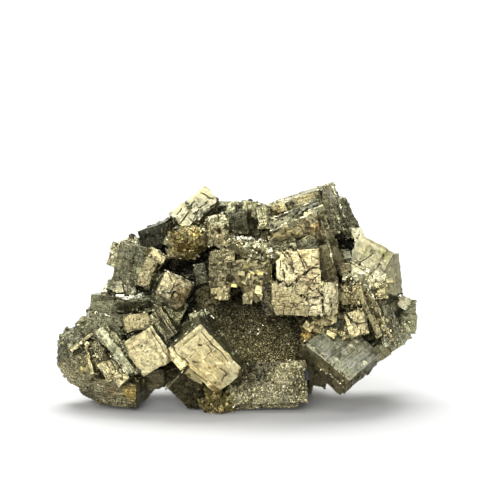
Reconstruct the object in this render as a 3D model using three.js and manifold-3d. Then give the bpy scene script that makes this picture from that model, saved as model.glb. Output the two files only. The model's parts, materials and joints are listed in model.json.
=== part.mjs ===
// A pyrite specimen: cubes and blocks of pyrite grown together into one mass.
// Millimetres, +Z up, +X to the right and +Y away from the front.
import * as THREE from 'three';
import { ConvexGeometry } from 'three/addons/geometries/ConvexGeometry.js';
import { mergeVertices } from 'three/addons/utils/BufferGeometryUtils.js';
import Module from 'manifold-3d';

// Driving dimensions, in millimetres and degrees
const CORNER_CHIP = 0.09;      // broken corner, as a share of a crystal's shortest side
const PLATE_RISE = 0.45;       // height of one growth plate on a crystal's face
const CRACK_WIDTH = 0.22;      // opening of a crack at the face
const CRACK_DEPTH = 1.4;       // how far a crack runs into the crystal
const HOLLOW_GRAIN = 1.9;      // side of the small crystals that line the hollow
const HOLLOW_COUNT = 30;       // how many of them there are
const CRUST_THICK = 1.1;       // thickness of the crust that carries them
const HOLLOW_TILT = 16;        // how far the hollow's back leans away, in degrees
const HOLLOW_MIDDLE = [4.6, -10.4, 21]; // middle of the hollow's back
const BACK_CUBE = 11;          // usual side of a crystal on the back
const FOOT_LEVEL = 0;          // what lies under this level is cut away as the resting face

// Crystals: name, centre of the front face, [width, height, depth],
// [heading to the right, tilt up], roll clockwise, and what is on its front face.
// A plate is [left, bottom, right, top] in shares of the face, from -0.5 to 0.5.
// A crack is [from across, from up, to across, to up], in the same shares.
const FRONT_CUBES = [
  ['left gold cube', [-24.5, -21, 17.7], [10.2, 11.4, 13], [-8, 0], -33,
    { plates: [[-0.5, -0.5, 0.4, 0.5]] }],
  ['left gold cube side', [-20.5, -17.5, 20], [6, 12.5, 10], [0, -6], -38],
  ['centre gold cube', [-8, -24, 16], [10.8, 18.4, 17], [4, -9], -41,
    { plates: [[-0.34, -0.5, 0.5, 0.42]] }],
  ['centre gold flake', [-16.6, -21.5, 16.2], [3.6, 7, 7], [-8, 4], -41],
  ['centre gold chip', [-11.5, -22.5, 11.2], [6.6, 3, 7], [6, -12], 36],
  ['centre corner block', [-10.8, -17, 25.6], [5, 4.6, 9], [0, 4], -12],
  ['perched cube', [-17.5, -18.6, 34], [9.1, 8.8, 9], [12, 12], 24,
    { plates: [[-0.5, -0.04, 0.5, 0.5]] }],
  ['perched cube foot', [-18.6, -16, 29], [9, 6, 10], [6, -4], 26],
  ['wall block', [18.3, -21, 32.2], [18.4, 9.4, 20], [0, 4], -1,
    { plates: [[0.04, -0.5, 0.5, 0.5]],
      cracks: [[-0.03, 0.03, 0.38, 0.0], [0.235, 0.5, 0.25, -0.4], [0.38, 0.0, 0.38, -0.5]] }],
  ['wall block top', [16.4, -20.5, 40.9], [12.4, 9.4, 16], [0, 4], -3,
    { cracks: [[-0.02, 0.5, 0.2, 0.0], [-0.2, 0.42, -0.09, -0.08], [-0.1, -0.5, 0.06, -0.24],
      [0.06, -0.24, 0.4, 0.04]] }],
  ['wall block side', [22.4, -18.4, 40.4], [4, 9.4, 10], [38, 8], -16],
  ['wall crumbs', [15.6, -18, 46.6], [12.4, 4.8, 9], [-4, 46], -15, { cracks: [[-0.1, -0.5, 0.0, 0.5]] }],
  ['wall crumb left', [9.6, -19, 44.6], [4.4, 3.4, 10], [4, 20], 12],
  ['wall block rib', [26.6, -21.4, 31.4], [2.2, 6, 9], [-4, 6], 0],
  ['wall block shoulder', [8.6, -18.5, 31.5], [4.2, 9, 12], [-10, 4], 2],
  ['nested cube', [19.2, -13.4, 45.6], [15.6, 18.6, 6.4], [10, -16], -25,
    { plates: [[-0.5, 0.2, 0.5, 0.5], [-0.5, 0.02, 0.44, 0.5]] }],
  ['nested cube root', [18, -9, 43], [15, 16, 16], [4, -6], -22],
  ['nested cube post', [25.2, -15.2, 40.4], [3.4, 12.4, 10], [10, 0], -15],
  ['outer cube', [18.2, -5, 50.8], [19.2, 15.6, 16], [-10, 0], -20,
    { plates: [[-0.5, 0.3, 0.5, 0.5], [0.3, -0.5, 0.5, 0.5]], cracks: [[0.3, -0.1, 0.5, -0.16]] }],
  ['outer cube side', [30.2, 1, 51.4], [6, 11.6, 12], [10, 5], -24],
  ['outer cube ledge', [10.2, -6.6, 54.9], [7, 3, 9], [-6, 4], -17],
  ['striped cube', [29.2, -14.2, 17.2], [16.6, 15.6, 6.4], [20, 46], 54,
    { plates: [[-0.5, -0.5, 0.5, 0.36], [-0.5, -0.5, 0.4, 0.1]] }],
  ['striped cube layer', [28.6, -13.2, 15.4], [15.4, 14.4, 5.6], [20, 46], 57],
  ['beige block', [32.4, -20, 25.4], [6, 7.2, 11], [-5, 10], -13, { cracks: [[-0.3, 0.4, 0.0, -0.1]] }],
  ['brown block', [31.4, -15, 32.4], [6.6, 5.6, 12], [-2, 6], -4],
  ['slanting slab 1', [36, -16.6, 27.6], [2.2, 14.4, 11], [-8, 4], -25],
  ['slanting slab 2', [38.9, -14.8, 26.4], [2.6, 17, 11], [-2, 4], -26],
  ['slanting slab 3', [41.6, -11.8, 23.6], [2.2, 14, 11], [5, 4], -25],
  ['slanting slab 4', [44, -8.6, 22.4], [2.4, 12, 11], [12, 4], -20],
  ['slab end cube', [40.6, -16.6, 19.6], [3, 3, 7], [-10, 10], -15],
  ['dark leaning cube', [-12.6, -18.6, 6.1], [9, 13, 12], [5, -28], -40],
  ['hollow back', HOLLOW_MIDDLE, [34, 30, 22], [0, HOLLOW_TILT], 2],
  ['foot block', [8.2, -18.4, 8.5], [21.8, 11.6, 14], [0, 9], -2],
  ['foot block base', [6.6, -17, 3.4], [20.6, 5.4, 14], [-2, -8], -3],
  ['foot block top', [13.6, -19.4, 11.4], [7.4, 6.4, 11], [-2, 9], -2],
  ['foot block edge', [17, -19.6, 9], [3.4, 6.6, 9], [24, 2], -6],
  ['under block', [21.8, -10.6, 11.8], [7.4, 6.6, 12], [10, -20], 14],
  ['foot block end', [19.8, -14.6, 9.6], [4.6, 8, 10], [20, -12], 12],
  ['under rock', [22.2, -11.8, 8.4], [7, 5.6, 12], [8, -14], 16],
];

const LEFT_GROUP = [
  ['left foot', [-33.9, -16.4, 5], [12.8, 7.7, 18], [-16, -6], 5],
  ['left foot step', [-37, -13, 8.6], [10, 7, 14], [-10, 4], 14],
  ['arch', [-23.6, -10, 7.4], [11, 6.2, 16], [8, -16], -8],
  ['long bar', [-33.5, -20.6, 17.8], [3.2, 15.4, 11], [-14, 8], -39],
  ['long bar flank', [-31.4, -18.6, 16.6], [4, 13.6, 9], [6, 4], -39],
  ['long bar foot', [-35.4, -18.8, 12.6], [5.2, 6, 9], [-16, 4], -37],
  ['bar end cube', [-32.2, -21.2, 10.4], [4, 4, 9], [-6, 8], -40],
  ['leaning wedge', [-38.6, -15.6, 15.6], [5, 8, 11], [-10, 4], -22],
  ['upright blade', [-41, -17, 15], [1.5, 9.4, 9], [-16, 6], -16],
  ['cross blade', [-43, -14.6, 19.2], [8.2, 1.3, 9], [-10, 10], -40],
  ['left slab', [-46, -9.4, 18.2], [7, 4.4, 13], [-24, 14], -38],
  ['smooth grey block', [-36.5, -13, 23.2], [10.6, 8, 17], [-8, 8], 10],
  ['smooth grey step', [-33.4, -12, 27.2], [8, 4, 14], [-2, 12], 4],
  ['grey stack block', [-37.6, -12, 29.3], [6.8, 5.2, 15], [-12, 4], 3],
  ['small dark row 1', [-32.6, -13.4, 29], [3.6, 3.4, 12], [0, 2], 2],
  ['small dark row 2', [-28.8, -13.8, 29.2], [3.4, 3.2, 12], [6, 2], -4],
  ['small dark row 3', [-25.2, -13.2, 29], [3.4, 3.6, 12], [-4, 2], 8],
  ['wavy gold block', [-27.8, -17, 25.2], [8, 5, 13], [-2, 14], -10],
  ['upper striped cube', [-20.6, -18.4, 24.6], [5.6, 8.4, 12], [-18, 6], -38],
  ['white ledge', [-28.6, -15.4, 31.6], [9.4, 2.4, 8], [5, 45], 0],
  ['white ledge left', [-36, -12, 31.6], [4, 2.2, 8], [-8, 40], 4],
  ['pale layered block', [-32.8, -11.4, 34.4], [7, 3.8, 14], [-8, 14], 0],
  ['pale layered step', [-30.4, -12.4, 33], [5, 2.2, 12], [-2, 10], 4],
  ['green grey block', [-29.6, -10, 40], [8.8, 11, 18], [-14, 6], 12,
    { plates: [[-0.5, -0.5, 0.1, 0.5]] }],
  ['upright gold plate', [-25, -14, 38.4], [4, 8.4, 12], [-12, 8], 20],
  ['plate cap', [-22, -12, 42.6], [5.2, 2.8, 9], [-4, 12], 35],
  ['left lobe', [-33.7, -2.6, 41.6], [6, 7, 14], [-22, 18], 12],
  ['slope block', [-31, -4, 44.9], [6.6, 4, 12], [-12, 20], -25],
  ['dark cube', [-24, -5.6, 46.8], [8, 6.4, 14], [-26, -6], -20, { plates: [[-0.5, -0.5, 0.5, 0.1]] }],
];

const TOP_GROUP = [
  ['crest cube', [-12.1, -4.4, 55.5], [13.4, 6.8, 15], [-4, 30], -42, { cracks: [[-0.12, -0.5, -0.04, 0.5]] }],
  ['crest cube end', [-8.6, -3.4, 56.8], [5.6, 5.4, 12], [8, 30], -34],
  ['crest cube foot', [-13.2, -5.2, 52.4], [7.6, 4, 14], [-8, 4], -36],
  ['crest ledge 1', [-5, -2, 56.3], [10.6, 1.6, 10], [0, 20], 1],
  ['chip block 1', [-5.6, -9, 52], [5.4, 4.2, 12], [4, 14], -10],
  ['chip block 2', [-5.6, -13, 48], [5.4, 5.4, 12], [-4, 6], 18],
  ['chip block 3', [-2, -5, 54.8], [3.4, 2.4, 10], [0, 20], 5],
  ['dark chip block', [0, -9, 51], [5.8, 6.2, 12], [-18, -8], -12],
  ['pitted block', [3.6, -6, 55.1], [5.4, 4.4, 14], [4, 8], 6],
  ['pale green block', [7.4, -10, 53], [4, 6.8, 14], [6, 4], -8],
  ['wedge ledge', [5, -13.6, 46.4], [9.8, 2.8, 12], [5, 40], 7],
  ['wedge slab', [1.6, -16.2, 44.1], [10.6, 2.6, 10], [8, -12], 31],
  ['wedge slab lip', [5.2, -15.8, 43.5], [6, 2, 10], [4, 34], 20],
  ['middle crumbs', [-4.2, -15.6, 43.6], [7.4, 3.4, 12], [-4, 20], -4],
  ['middle block left', [-6, -17, 39.4], [4.2, 8.6, 14], [-6, 6], 0],
  ['middle block', [2.4, -16, 38.4], [13.6, 7, 16], [2, 10], 3,
    { plates: [[-0.5, -0.5, -0.05, 0.5], [0.2, -0.2, 0.5, 0.5]],
      cracks: [[-0.05, -0.5, -0.02, 0.5], [-0.02, 0.1, 0.5, 0.0]] }],
  ['middle lower cube 1', [-4.6, -17, 33], [4.8, 3.8, 10], [-4, 6], 0],
  ['middle lower cube 2', [4.4, -16, 33], [5.8, 4.4, 10], [4, 4], -5],
  ['recess cube', [-10.4, -9, 37.4], [4, 6.2, 12], [-20, 0], -12],
  ['recess cube low', [-14.6, -8.6, 33], [5, 5, 12], [12, 0], 14],
];

const RIGHT_GROUP = [
  ['bright face block', [36, -6.4, 40.6], [11, 12.4, 15], [4, 30], 31,
    { plates: [[-0.5, -0.2, 0.3, 0.5]], cracks: [[-0.5, -0.2, 0.5, -0.3]] }],
  ['bright face facet', [38.6, -8.6, 37], [4.4, 4.4, 10], [6, 20], 42],
  ['bright face tip', [33.4, -1.6, 47.4], [3.4, 4, 10], [-6, 20], -20],
  ['lit shelf', [42.4, -1.6, 41], [5, 2.6, 10], [8, 30], 4],
  ['bright ledge plate 1', [31.6, -12.6, 37.4], [5.2, 1.4, 10], [0, 24], -12],
  ['bright ledge plate 2', [33.6, -12, 35.9], [5.4, 1.6, 10], [0, 20], -8],
  ['grey end block', [43.4, -3, 36], [5.8, 11.6, 15], [30, 0], -8, { plates: [[-0.5, -0.5, 0.1, 0.5]] }],
  ['beige cap block', [39.4, -11, 32.8], [5.2, 5.2, 12], [4, 6], -2],
  ['beige cap ledge', [40, -9.6, 36.2], [4, 2, 9], [6, 30], -20],
  ['recess brown cube 1', [28.8, -8, 42.2], [3.4, 3.4, 10], [-10, 6], -20],
  ['recess brown cube 2', [29.4, -9, 38.4], [4, 3.8, 10], [-8, 6], -4],
  ['grey knob', [40.8, -13.4, 27.4], [3.6, 4, 10], [14, 10], -16],
  ['right lobe', [47.4, 0.4, 23.8], [6.8, 10.2, 20], [24, 4], 6, { plates: [[-0.5, -0.5, 0.5, 0.1]] }],
  ['right lobe facet', [46.6, -2, 28.2], [4, 4, 10], [0, 24], 30],
  ['right lobe foot', [46, -1, 20.4], [4.6, 4, 12], [10, -6], -30],
  ['right underside', [42.4, -3, 17.6], [11, 9, 18], [16, -24], -42],
  ['right underside block', [38.2, -7, 13.6], [9, 5, 14], [4, -20], -36],
  ['debris 1', [22, -14, 24], [4.2, 3.8, 10], [10, 10], 20],
  ['debris 2', [26.2, -16.4, 22.4], [2.8, 2.8, 8], [0, 20], 30],
  ['debris 3', [29.6, -15, 22], [4.2, 3.8, 9], [-8, 14], -25],
  ['debris 4', [25, -16, 26.2], [4, 2.4, 8], [6, 10], 10],
];

// Rounded and broken masses: name, centre, half sizes, corners, seed
const LUMPS = [
  ['core', [3, 5, 24], [31, 15, 24], 40, 3],
  ['core top left', [-13, 5, 41], [15, 11, 12], 30, 5],
  ['core top right', [20, 6, 42], [14, 11, 14], 30, 7],
  ['core top middle', [3, 5, 43], [13, 10, 9], 26, 15],
  ['core right', [34, 3, 26], [13, 11, 11], 30, 9],
  ['core left', [-31, 1, 20], [14, 12, 14], 30, 11],
  ['core foot', [2, 2, 8], [17, 17, 10], 30, 13],
  ['left granular rock', [-42.6, -6, 12.6], [8.8, 9, 8], 34, 17],
  ['left granular shoulder', [-46, -3, 17], [5, 7, 4.6], 22, 19],
  ['left foot mass', [-34, -4, 6], [11, 10, 7.4], 26, 21],
  ['rust lump', [-13.4, -10, 47], [7, 5.4, 4.4], 30, 23],
  ['rust lump low', [-15.4, -10.6, 43.6], [5, 4, 3], 24, 25],
  ['front foot lump', [-5.4, -17.2, 2.6], [6.4, 5, 3.4], 24, 27],
  ['left slope rock', [-41, -4, 20.6], [5.4, 7, 4.8], 22, 33],
  ['foot debris', [-6.6, -18, 6.4], [3.2, 3.6, 4.4], 22, 29],
];

// Deep gaps between the crystals: centre and half sizes
const GAPS = [
  [[-14, -12, 37.4], [6.4, 9, 4.6]],
  [[4, -14, 29], [13, 6, 5]],
  [[29.6, -12, 40.6], [3.6, 7, 5]],
  [[-18.6, -18, 11.6], [3, 8, 4.4]],
];

// A fixed sequence of numbers from 0 to 1, so that every build is the same
function sequence(seed) {
  let state = seed * 7919 + 17;
  return () => {
    state = (state * 1103515245 + 12345) % 2147483648;
    return state / 2147483648;
  };
}

const wasm = await Module();
wasm.setup();

// A closed three.js shape as a solid that can be joined and cut
function solidOf(geometry) {
  const shape = geometry.clone();
  shape.deleteAttribute('normal');
  shape.deleteAttribute('uv');
  const welded = mergeVertices(shape, 1e-5);
  const triVerts = new Uint32Array(welded.index.array);
  const vertProperties = new Float32Array(welded.attributes.position.array);
  return new wasm.Manifold(new wasm.Mesh({ numProp: 3, vertProperties, triVerts }));
}

const degrees = THREE.MathUtils.degToRad;

// Where a crystal stands: its front face turned by heading and tilt, then rolled
function placing(at, facing, roll) {
  const turn = new THREE.Matrix4().makeRotationZ(degrees(facing[0]));
  turn.multiply(new THREE.Matrix4().makeRotationX(degrees(-facing[1])));
  turn.multiply(new THREE.Matrix4().makeRotationY(degrees(roll)));
  turn.setPosition(at[0], at[1], at[2]);
  return turn;
}

// The corners of a box, some of them broken off
function chippedCorners(size, random) {
  const points = [];
  const chip = Math.min(size[0], size[1], size[2]) * CORNER_CHIP;
  for (const side of [-1, 1]) {
    for (const end of [-1, 1]) {
      for (const deep of [0, 1]) {
        const x = side * size[0] / 2;
        const z = end * size[1] / 2;
        const y = deep * size[2];
        const inward = deep === 0 ? 1 : -1;
        const broken = random();
        if (broken < 0.5 || deep === 1) {
          points.push(new THREE.Vector3(x, y, z));
        } else {
          const cut = chip * (0.6 + 2.2 * random());
          const along = chip * (0.6 + 3.0 * random());
          points.push(new THREE.Vector3(x - side * cut, y, z));
          points.push(new THREE.Vector3(x, y, z - end * along));
          points.push(new THREE.Vector3(x, y + inward * cut, z));
        }
      }
    }
  }
  return points;
}

// A plain box between two corners of a crystal's own frame
function boxBetween(low, high) {
  const box = new THREE.BoxGeometry(high[0] - low[0], high[1] - low[1], high[2] - low[2]);
  box.translate((low[0] + high[0]) / 2, (low[1] + high[1]) / 2, (low[2] + high[2]) / 2);
  return box;
}

// A crack: a narrow wedge, widest at the face
function crackWedge(from, to, width, depth) {
  const run = new THREE.Vector3(to[0] - from[0], 0, to[1] - from[1]);
  const across = new THREE.Vector3(-run.z, 0, run.x).normalize().multiplyScalar(width / 2);
  const start = new THREE.Vector3(from[0], 0, from[1]);
  const finish = new THREE.Vector3(to[0], 0, to[1]);
  const out = new THREE.Vector3(0, -1.5, 0);
  const deep = new THREE.Vector3(0, depth, 0);
  const points = [];
  for (const end of [start, finish]) {
    points.push(end.clone().add(across).add(out));
    points.push(end.clone().sub(across).add(out));
    points.push(end.clone().add(across));
    points.push(end.clone().sub(across));
    points.push(end.clone().add(deep));
  }
  return new ConvexGeometry(points);
}

// One crystal with its growth plates and cracks
function crystal(row, seed) {
  const [, at, size, facing, roll, extra] = row;
  const random = sequence(seed);
  let body = solidOf(new ConvexGeometry(chippedCorners(size, random)));
  const bare = body;
  const [width, height] = size;
  for (const plate of extra?.plates ?? []) {
    const low = [plate[0] * width - 0.01, -2 * PLATE_RISE, plate[1] * height - 0.01];
    const high = [plate[2] * width + 0.01, 1, plate[3] * height + 0.01];
    const raised = bare.translate([0, -PLATE_RISE * (0.8 + 0.6 * random()), 0]);
    body = body.add(raised.intersect(solidOf(boxBetween(low, high))));
  }
  for (const crack of extra?.cracks ?? []) {
    const from = [crack[0] * width * 1.02, crack[1] * height * 1.02];
    const to = [crack[2] * width * 1.02, crack[3] * height * 1.02];
    const deeper = CRACK_DEPTH * (0.7 + 0.6 * random());
    body = body.subtract(solidOf(crackWedge(from, to, CRACK_WIDTH * (0.7 + 0.6 * random()), deeper)));
  }
  return body.transform(placing(at, facing, roll).elements);
}

// A broken mass: the hull of scattered points on an egg shape
function lump(row) {
  const [, centre, half, corners, seed] = row;
  const random = sequence(seed);
  const points = [];
  for (let count = 0; count < corners; count += 1) {
    const up = 1 - 2 * (count + 0.5) / corners;
    const round = Math.sqrt(1 - up * up);
    const angle = count * 2.39996 + random() * 0.8;
    const swell = 0.92 + 0.14 * random();
    points.push(new THREE.Vector3(
      centre[0] + half[0] * swell * round * Math.cos(angle),
      centre[1] + half[1] * swell * round * Math.sin(angle),
      centre[2] + half[2] * swell * up,
    ));
  }
  return solidOf(new ConvexGeometry(points));
}

// Crystals of the back: each grows outward from one of the masses inside
const BACK_SEATS = [
  [[3, 10, 16], [24, 14, 12], 9, 41],
  [[3, 10, 34], [22, 11, 14], 10, 43],
  [[-13, 8, 38.4], [12, 9, 9], 8, 45],
  [[20, 8, 42], [12, 9, 12], 8, 47],
  [[34, 6, 26], [9, 10, 10], 7, 49],
  [[-30, 5, 19], [10, 10, 10], 7, 51],
];

function backCrystals() {
  const grown = [];
  for (const [centre, half, count, seed] of BACK_SEATS) {
    const random = sequence(seed);
    for (let number = 0; number < count; number += 1) {
      const heading = 95 + 170 * (number + random() * 0.8) / count;
      const tilt = -25 + 75 * ((number * 0.618 + random() * 0.3) % 1);
      const out = new THREE.Vector3(0, -1, 0);
      out.applyAxisAngle(new THREE.Vector3(1, 0, 0), degrees(-tilt));
      out.applyAxisAngle(new THREE.Vector3(0, 0, 1), degrees(heading));
      const at = [centre[0] + half[0] * out.x, centre[1] + half[1] * out.y * 1.15, centre[2] + half[2] * out.z];
      const side = BACK_CUBE * (0.6 + 0.75 * random());
      const size = [side, side * (0.75 + 0.4 * random()), side * 1.2];
      const step = 0.1 + 0.3 * random();
      const extra = number % 2 === 0 ? { plates: [[-0.5, -0.5, step, 0.5]] } : {};
      const roll = 50 * random() - 30;
      grown.push(crystal(['back crystal', at, size, [heading, tilt * 0.6], roll, extra], seed + number));
    }
  }
  return grown;
}

// The crust of small crystals that lines the hollow in the front
function hollowCrust() {
  const random = sequence(61);
  const points = [];
  for (let count = 0; count < 14; count += 1) {
    const angle = degrees(360 * (count + 0.6 * random()) / 14);
    const reach = 12.5 + 2 * random();
    const across = reach * Math.cos(angle);
    const up = reach * Math.sin(angle) - 1;
    points.push(new THREE.Vector3(across, 0.6, up));
    points.push(new THREE.Vector3(across * 0.8, -CRUST_THICK * (0.6 + 0.6 * random()), up * 0.8));
  }
  const sheet = solidOf(new ConvexGeometry(points));
  const grains = [sheet];
  for (let number = 0; number < HOLLOW_COUNT; number += 1) {
    const across = -9 + 21 * random();
    const up = -11 + 20 * random();
    const side = HOLLOW_GRAIN * (0.6 + 0.9 * random());
    const facing = [30 * random() - 15, 40 * random() - 20];
    const at = [across, -CRUST_THICK * 0.7 - side * 0.35, up];
    grains.push(crystal(['grain', at, [side, side, side * 1.3], facing, 90 * random()], 300 + number));
  }
  const crust = wasm.Manifold.union(grains);
  return crust.transform(placing(HOLLOW_MIDDLE, [0, HOLLOW_TILT], 0).elements);
}

// The largest of the bodies that a solid falls into
function largest(solid) {
  return solid.decompose().sort((one, other) => other.volume() - one.volume())[0];
}

const rows = [...FRONT_CUBES, ...LEFT_GROUP, ...TOP_GROUP, ...RIGHT_GROUP];
const pieces = rows.map((row, number) => crystal(row, 101 + number));
const gaps = GAPS.map(([centre, half], number) => lump(['gap', centre, half, 24, 71 + number]));
pieces.push(wasm.Manifold.union(LUMPS.map(lump)).subtract(wasm.Manifold.union(gaps)));
pieces.push(...backCrystals());

let grown = wasm.Manifold.union(pieces).simplify(0.04);
grown = grown.subtract(solidOf(boxBetween([-90, -90, -60], [90, 90, FOOT_LEVEL])));

// Only what is joined to the mass stays; the frame starts at the middle of its base
const joined = largest(grown);
const crust = largest(hollowCrust().subtract(joined).simplify(0.04));
const extent = joined.boundingBox();
const middle = [(extent.min[0] + extent.max[0]) / 2, (extent.min[1] + extent.max[1]) / 2, extent.min[2]];

// A finished solid as a named mesh, in the frame of the base
function meshOf(name, solid, material) {
  const built = solid.translate([-middle[0], -middle[1], -middle[2]]).getMesh();
  const geometry = new THREE.BufferGeometry();
  geometry.setAttribute('position', new THREE.BufferAttribute(new Float32Array(built.vertProperties), 3));
  geometry.setIndex(new THREE.BufferAttribute(new Uint32Array(built.triVerts), 1));
  geometry.computeVertexNormals();
  const mesh = new THREE.Mesh(geometry, material);
  mesh.name = name;
  return mesh;
}

const pyrite = new THREE.MeshStandardMaterial({ color: 0xb8a468, roughness: 0.38, metalness: 1.0 });
const druse = new THREE.MeshStandardMaterial({ color: 0x6e6546, roughness: 0.55, metalness: 1.0 });

const specimen = new THREE.Group();
specimen.name = 'pyrite_specimen';
specimen.add(meshOf('pyrite_cluster', joined, pyrite));
specimen.add(meshOf('hollow_crust', crust, druse));

export default specimen;
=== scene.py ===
# %% [markdown]
# # A pyrite specimen
# Pyrite grows as cubes that run into each other. From a step away one sees blocks with flat faces; closer
# in, every face is broken into small plates with cracks between them, some faces are striped, some are
# covered in grains, and the pale brass colour is dulled by olive and brown tarnish. The solids already hold
# the blocks. This script adds what sits on them, in the same place and at the same size.

# %% Tools and the frame
import json
import math
import bpy
import bmesh
import numpy as np
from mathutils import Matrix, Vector
from mathutils.bvhtree import BVHTree
from mathutils.geometry import delaunay_2d_cdt

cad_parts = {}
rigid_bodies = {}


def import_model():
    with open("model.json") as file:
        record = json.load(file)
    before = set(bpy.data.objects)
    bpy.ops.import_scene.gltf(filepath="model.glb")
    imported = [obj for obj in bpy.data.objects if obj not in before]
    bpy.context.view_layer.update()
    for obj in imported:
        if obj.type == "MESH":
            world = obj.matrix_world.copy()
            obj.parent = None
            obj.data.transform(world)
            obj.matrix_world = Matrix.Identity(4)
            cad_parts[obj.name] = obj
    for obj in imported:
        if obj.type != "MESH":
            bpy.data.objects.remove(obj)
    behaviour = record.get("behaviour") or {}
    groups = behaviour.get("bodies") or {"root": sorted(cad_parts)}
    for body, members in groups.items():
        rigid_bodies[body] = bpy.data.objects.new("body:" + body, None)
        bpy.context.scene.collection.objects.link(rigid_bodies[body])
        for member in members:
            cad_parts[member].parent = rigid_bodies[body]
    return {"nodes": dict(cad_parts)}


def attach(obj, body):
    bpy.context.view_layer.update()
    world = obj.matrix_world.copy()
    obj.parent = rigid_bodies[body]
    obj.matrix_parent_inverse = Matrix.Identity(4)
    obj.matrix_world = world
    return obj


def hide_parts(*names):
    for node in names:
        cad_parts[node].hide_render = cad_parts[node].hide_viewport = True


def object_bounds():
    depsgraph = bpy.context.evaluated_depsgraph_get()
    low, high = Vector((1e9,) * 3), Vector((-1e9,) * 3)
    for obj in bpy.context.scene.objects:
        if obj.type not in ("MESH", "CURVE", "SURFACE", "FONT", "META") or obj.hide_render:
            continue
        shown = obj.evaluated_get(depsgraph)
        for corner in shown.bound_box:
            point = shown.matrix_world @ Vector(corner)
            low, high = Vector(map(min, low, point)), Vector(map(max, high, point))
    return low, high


def in_mm(box):
    """The low and the high corner of a box in metres, as text in mm."""
    low, high = ([round(value * 1000, 1) for value in corner] for corner in box)
    return f"from {low} to {high} mm"


for leftover in list(bpy.data.objects):
    bpy.data.objects.remove(leftover)
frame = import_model()
solid_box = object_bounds()
print("the solids reach", in_mm(solid_box))

# %% [markdown]
# ## The camera
# The camera comes first, because it fixes what a viewer of the photo would see. It stands a little above
# the specimen and looks slightly down, far enough away that parallel edges stay nearly parallel. A long
# lens does that. All lengths are worked out in millimetres and divided by a thousand at the end.

# %% Camera
MM = 0.001
AIM = Vector((3.2, -0.94, 42.7))       # the point at the middle of the picture
LOOK_DOWN = math.radians(8)
DISTANCE = 650.0
FIELD = 140.0                          # width seen at the aim point
PICTURE = 500                          # the photo's frame, in pixels across and down
SENSOR = 36                            # width of the film behind the lens, also in mm

forward = Vector((0, math.cos(LOOK_DOWN), -math.sin(LOOK_DOWN)))
upward = Vector((0, math.sin(LOOK_DOWN), math.cos(LOOK_DOWN)))
stand = AIM - DISTANCE * forward

lens = bpy.data.cameras.new("camera")
lens.sensor_width = SENSOR
lens.lens = SENSOR * DISTANCE / FIELD
lens.clip_start = 0.05
lens.clip_end = 20
camera = bpy.data.objects.new("camera", lens)
camera.location = stand * MM
camera.rotation_euler = (math.pi / 2 - LOOK_DOWN, 0, 0)
bpy.context.scene.collection.objects.link(camera)
bpy.context.scene.camera = camera
print("lens", round(lens.lens, 1), "mm")

# %% [markdown]
# ## From one solid to its flat faces
# The node arrives as triangles. Triangles that lie in one plane and touch are one face of a crystal, so
# they are gathered again. Faces that meet at a right angle, or that are parallel steps, belong to one
# crystal, and give it its three directions. Everything that follows is done face by face, along those
# directions, as the mineral grew.

# %% Read the solid
def node_triangles(name):
    """Corner points in mm and triangles, with points that lie together made one."""
    data = frame["nodes"][name].data
    data.calc_loop_triangles()
    points = np.empty(len(data.vertices) * 3, np.float32)
    data.vertices.foreach_get("co", points)
    corners = np.empty(len(data.loop_triangles) * 3, np.int32)
    data.loop_triangles.foreach_get("vertices", corners)
    points = points.reshape(-1, 3).astype(float) / MM
    _, first, same = np.unique(np.round(points, 4), axis=0, return_index=True, return_inverse=True)
    triangles = same.reshape(-1)[corners].reshape(-1, 3)
    a, b, c = triangles.T
    return points[first], triangles[(a != b) & (b != c) & (c != a)]


def edge_owners(triangles):
    """Each edge, low point first, with the triangles on it."""
    owners = {}
    for number, (a, b, c) in enumerate(triangles.tolist()):
        for one, other in ((a, b), (b, c), (c, a)):
            owners.setdefault((one, other) if one < other else (other, one), []).append(number)
    return owners


def open_edges(owners):
    """How many edges don't have exactly two triangles; a closed surface has none."""
    return sum(len(sides) != 2 for sides in owners.values())


rock_points, rock_triangles = node_triangles("pyrite_cluster")
rock_edges = edge_owners(rock_triangles)
print(len(rock_points), "corners and", len(rock_triangles), "triangles")
print(open_edges(rock_edges), "edges without two sides")

# %% Gather the flat faces
FLAT_WITHIN = 0.012        # mm that a corner may lie off its face's plane
SLIVER_AREA = 0.004        # a triangle this small has no direction worth looking at


def normals_and_areas(points, triangles):
    """The direction each triangle faces, and its area."""
    a, b, c = (points[triangles[:, k]] for k in range(3))
    cross = np.cross(b - a, c - a)
    double = np.linalg.norm(cross, axis=1)
    return cross / np.maximum(double, 1e-12)[:, None], double / 2


def gather_faces(points, triangles, owners):
    """The face number of each triangle, growing outward from the largest triangles."""
    normal, area = normals_and_areas(points, triangles)
    beside = [[] for _ in triangles]
    for sides in owners.values():
        for one in sides:
            beside[one].extend(other for other in sides if other != one)
    face_of = np.full(len(triangles), -1)
    planes = []
    for seed in np.argsort(-area):
        if face_of[seed] >= 0:
            continue
        across = normal[seed]
        level = across @ points[triangles[seed][0]]
        face_of[seed] = len(planes)
        waiting = [seed]
        while waiting:
            for other in beside[waiting.pop()]:
                if face_of[other] >= 0:
                    continue
                off = np.abs(points[triangles[other]] @ across - level).max()
                if off < FLAT_WITHIN and (normal[other] @ across > 0.8 or area[other] < SLIVER_AREA):
                    face_of[other] = len(planes)
                    waiting.append(other)
        planes.append(across)
    return face_of, np.array(planes), area


face_of, face_normal, triangle_area = gather_faces(rock_points, rock_triangles, rock_edges)
FACE_COUNT = len(face_normal)
face_area = np.bincount(face_of, triangle_area, FACE_COUNT)
face_middle = np.zeros((FACE_COUNT, 3))
np.add.at(face_middle, face_of, rock_points[rock_triangles].mean(1) * triangle_area[:, None])
face_middle /= np.maximum(face_area, 1e-9)[:, None]
print(FACE_COUNT, "flat faces, of which", int((face_area > 2).sum()), "over 2 square mm")

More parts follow.
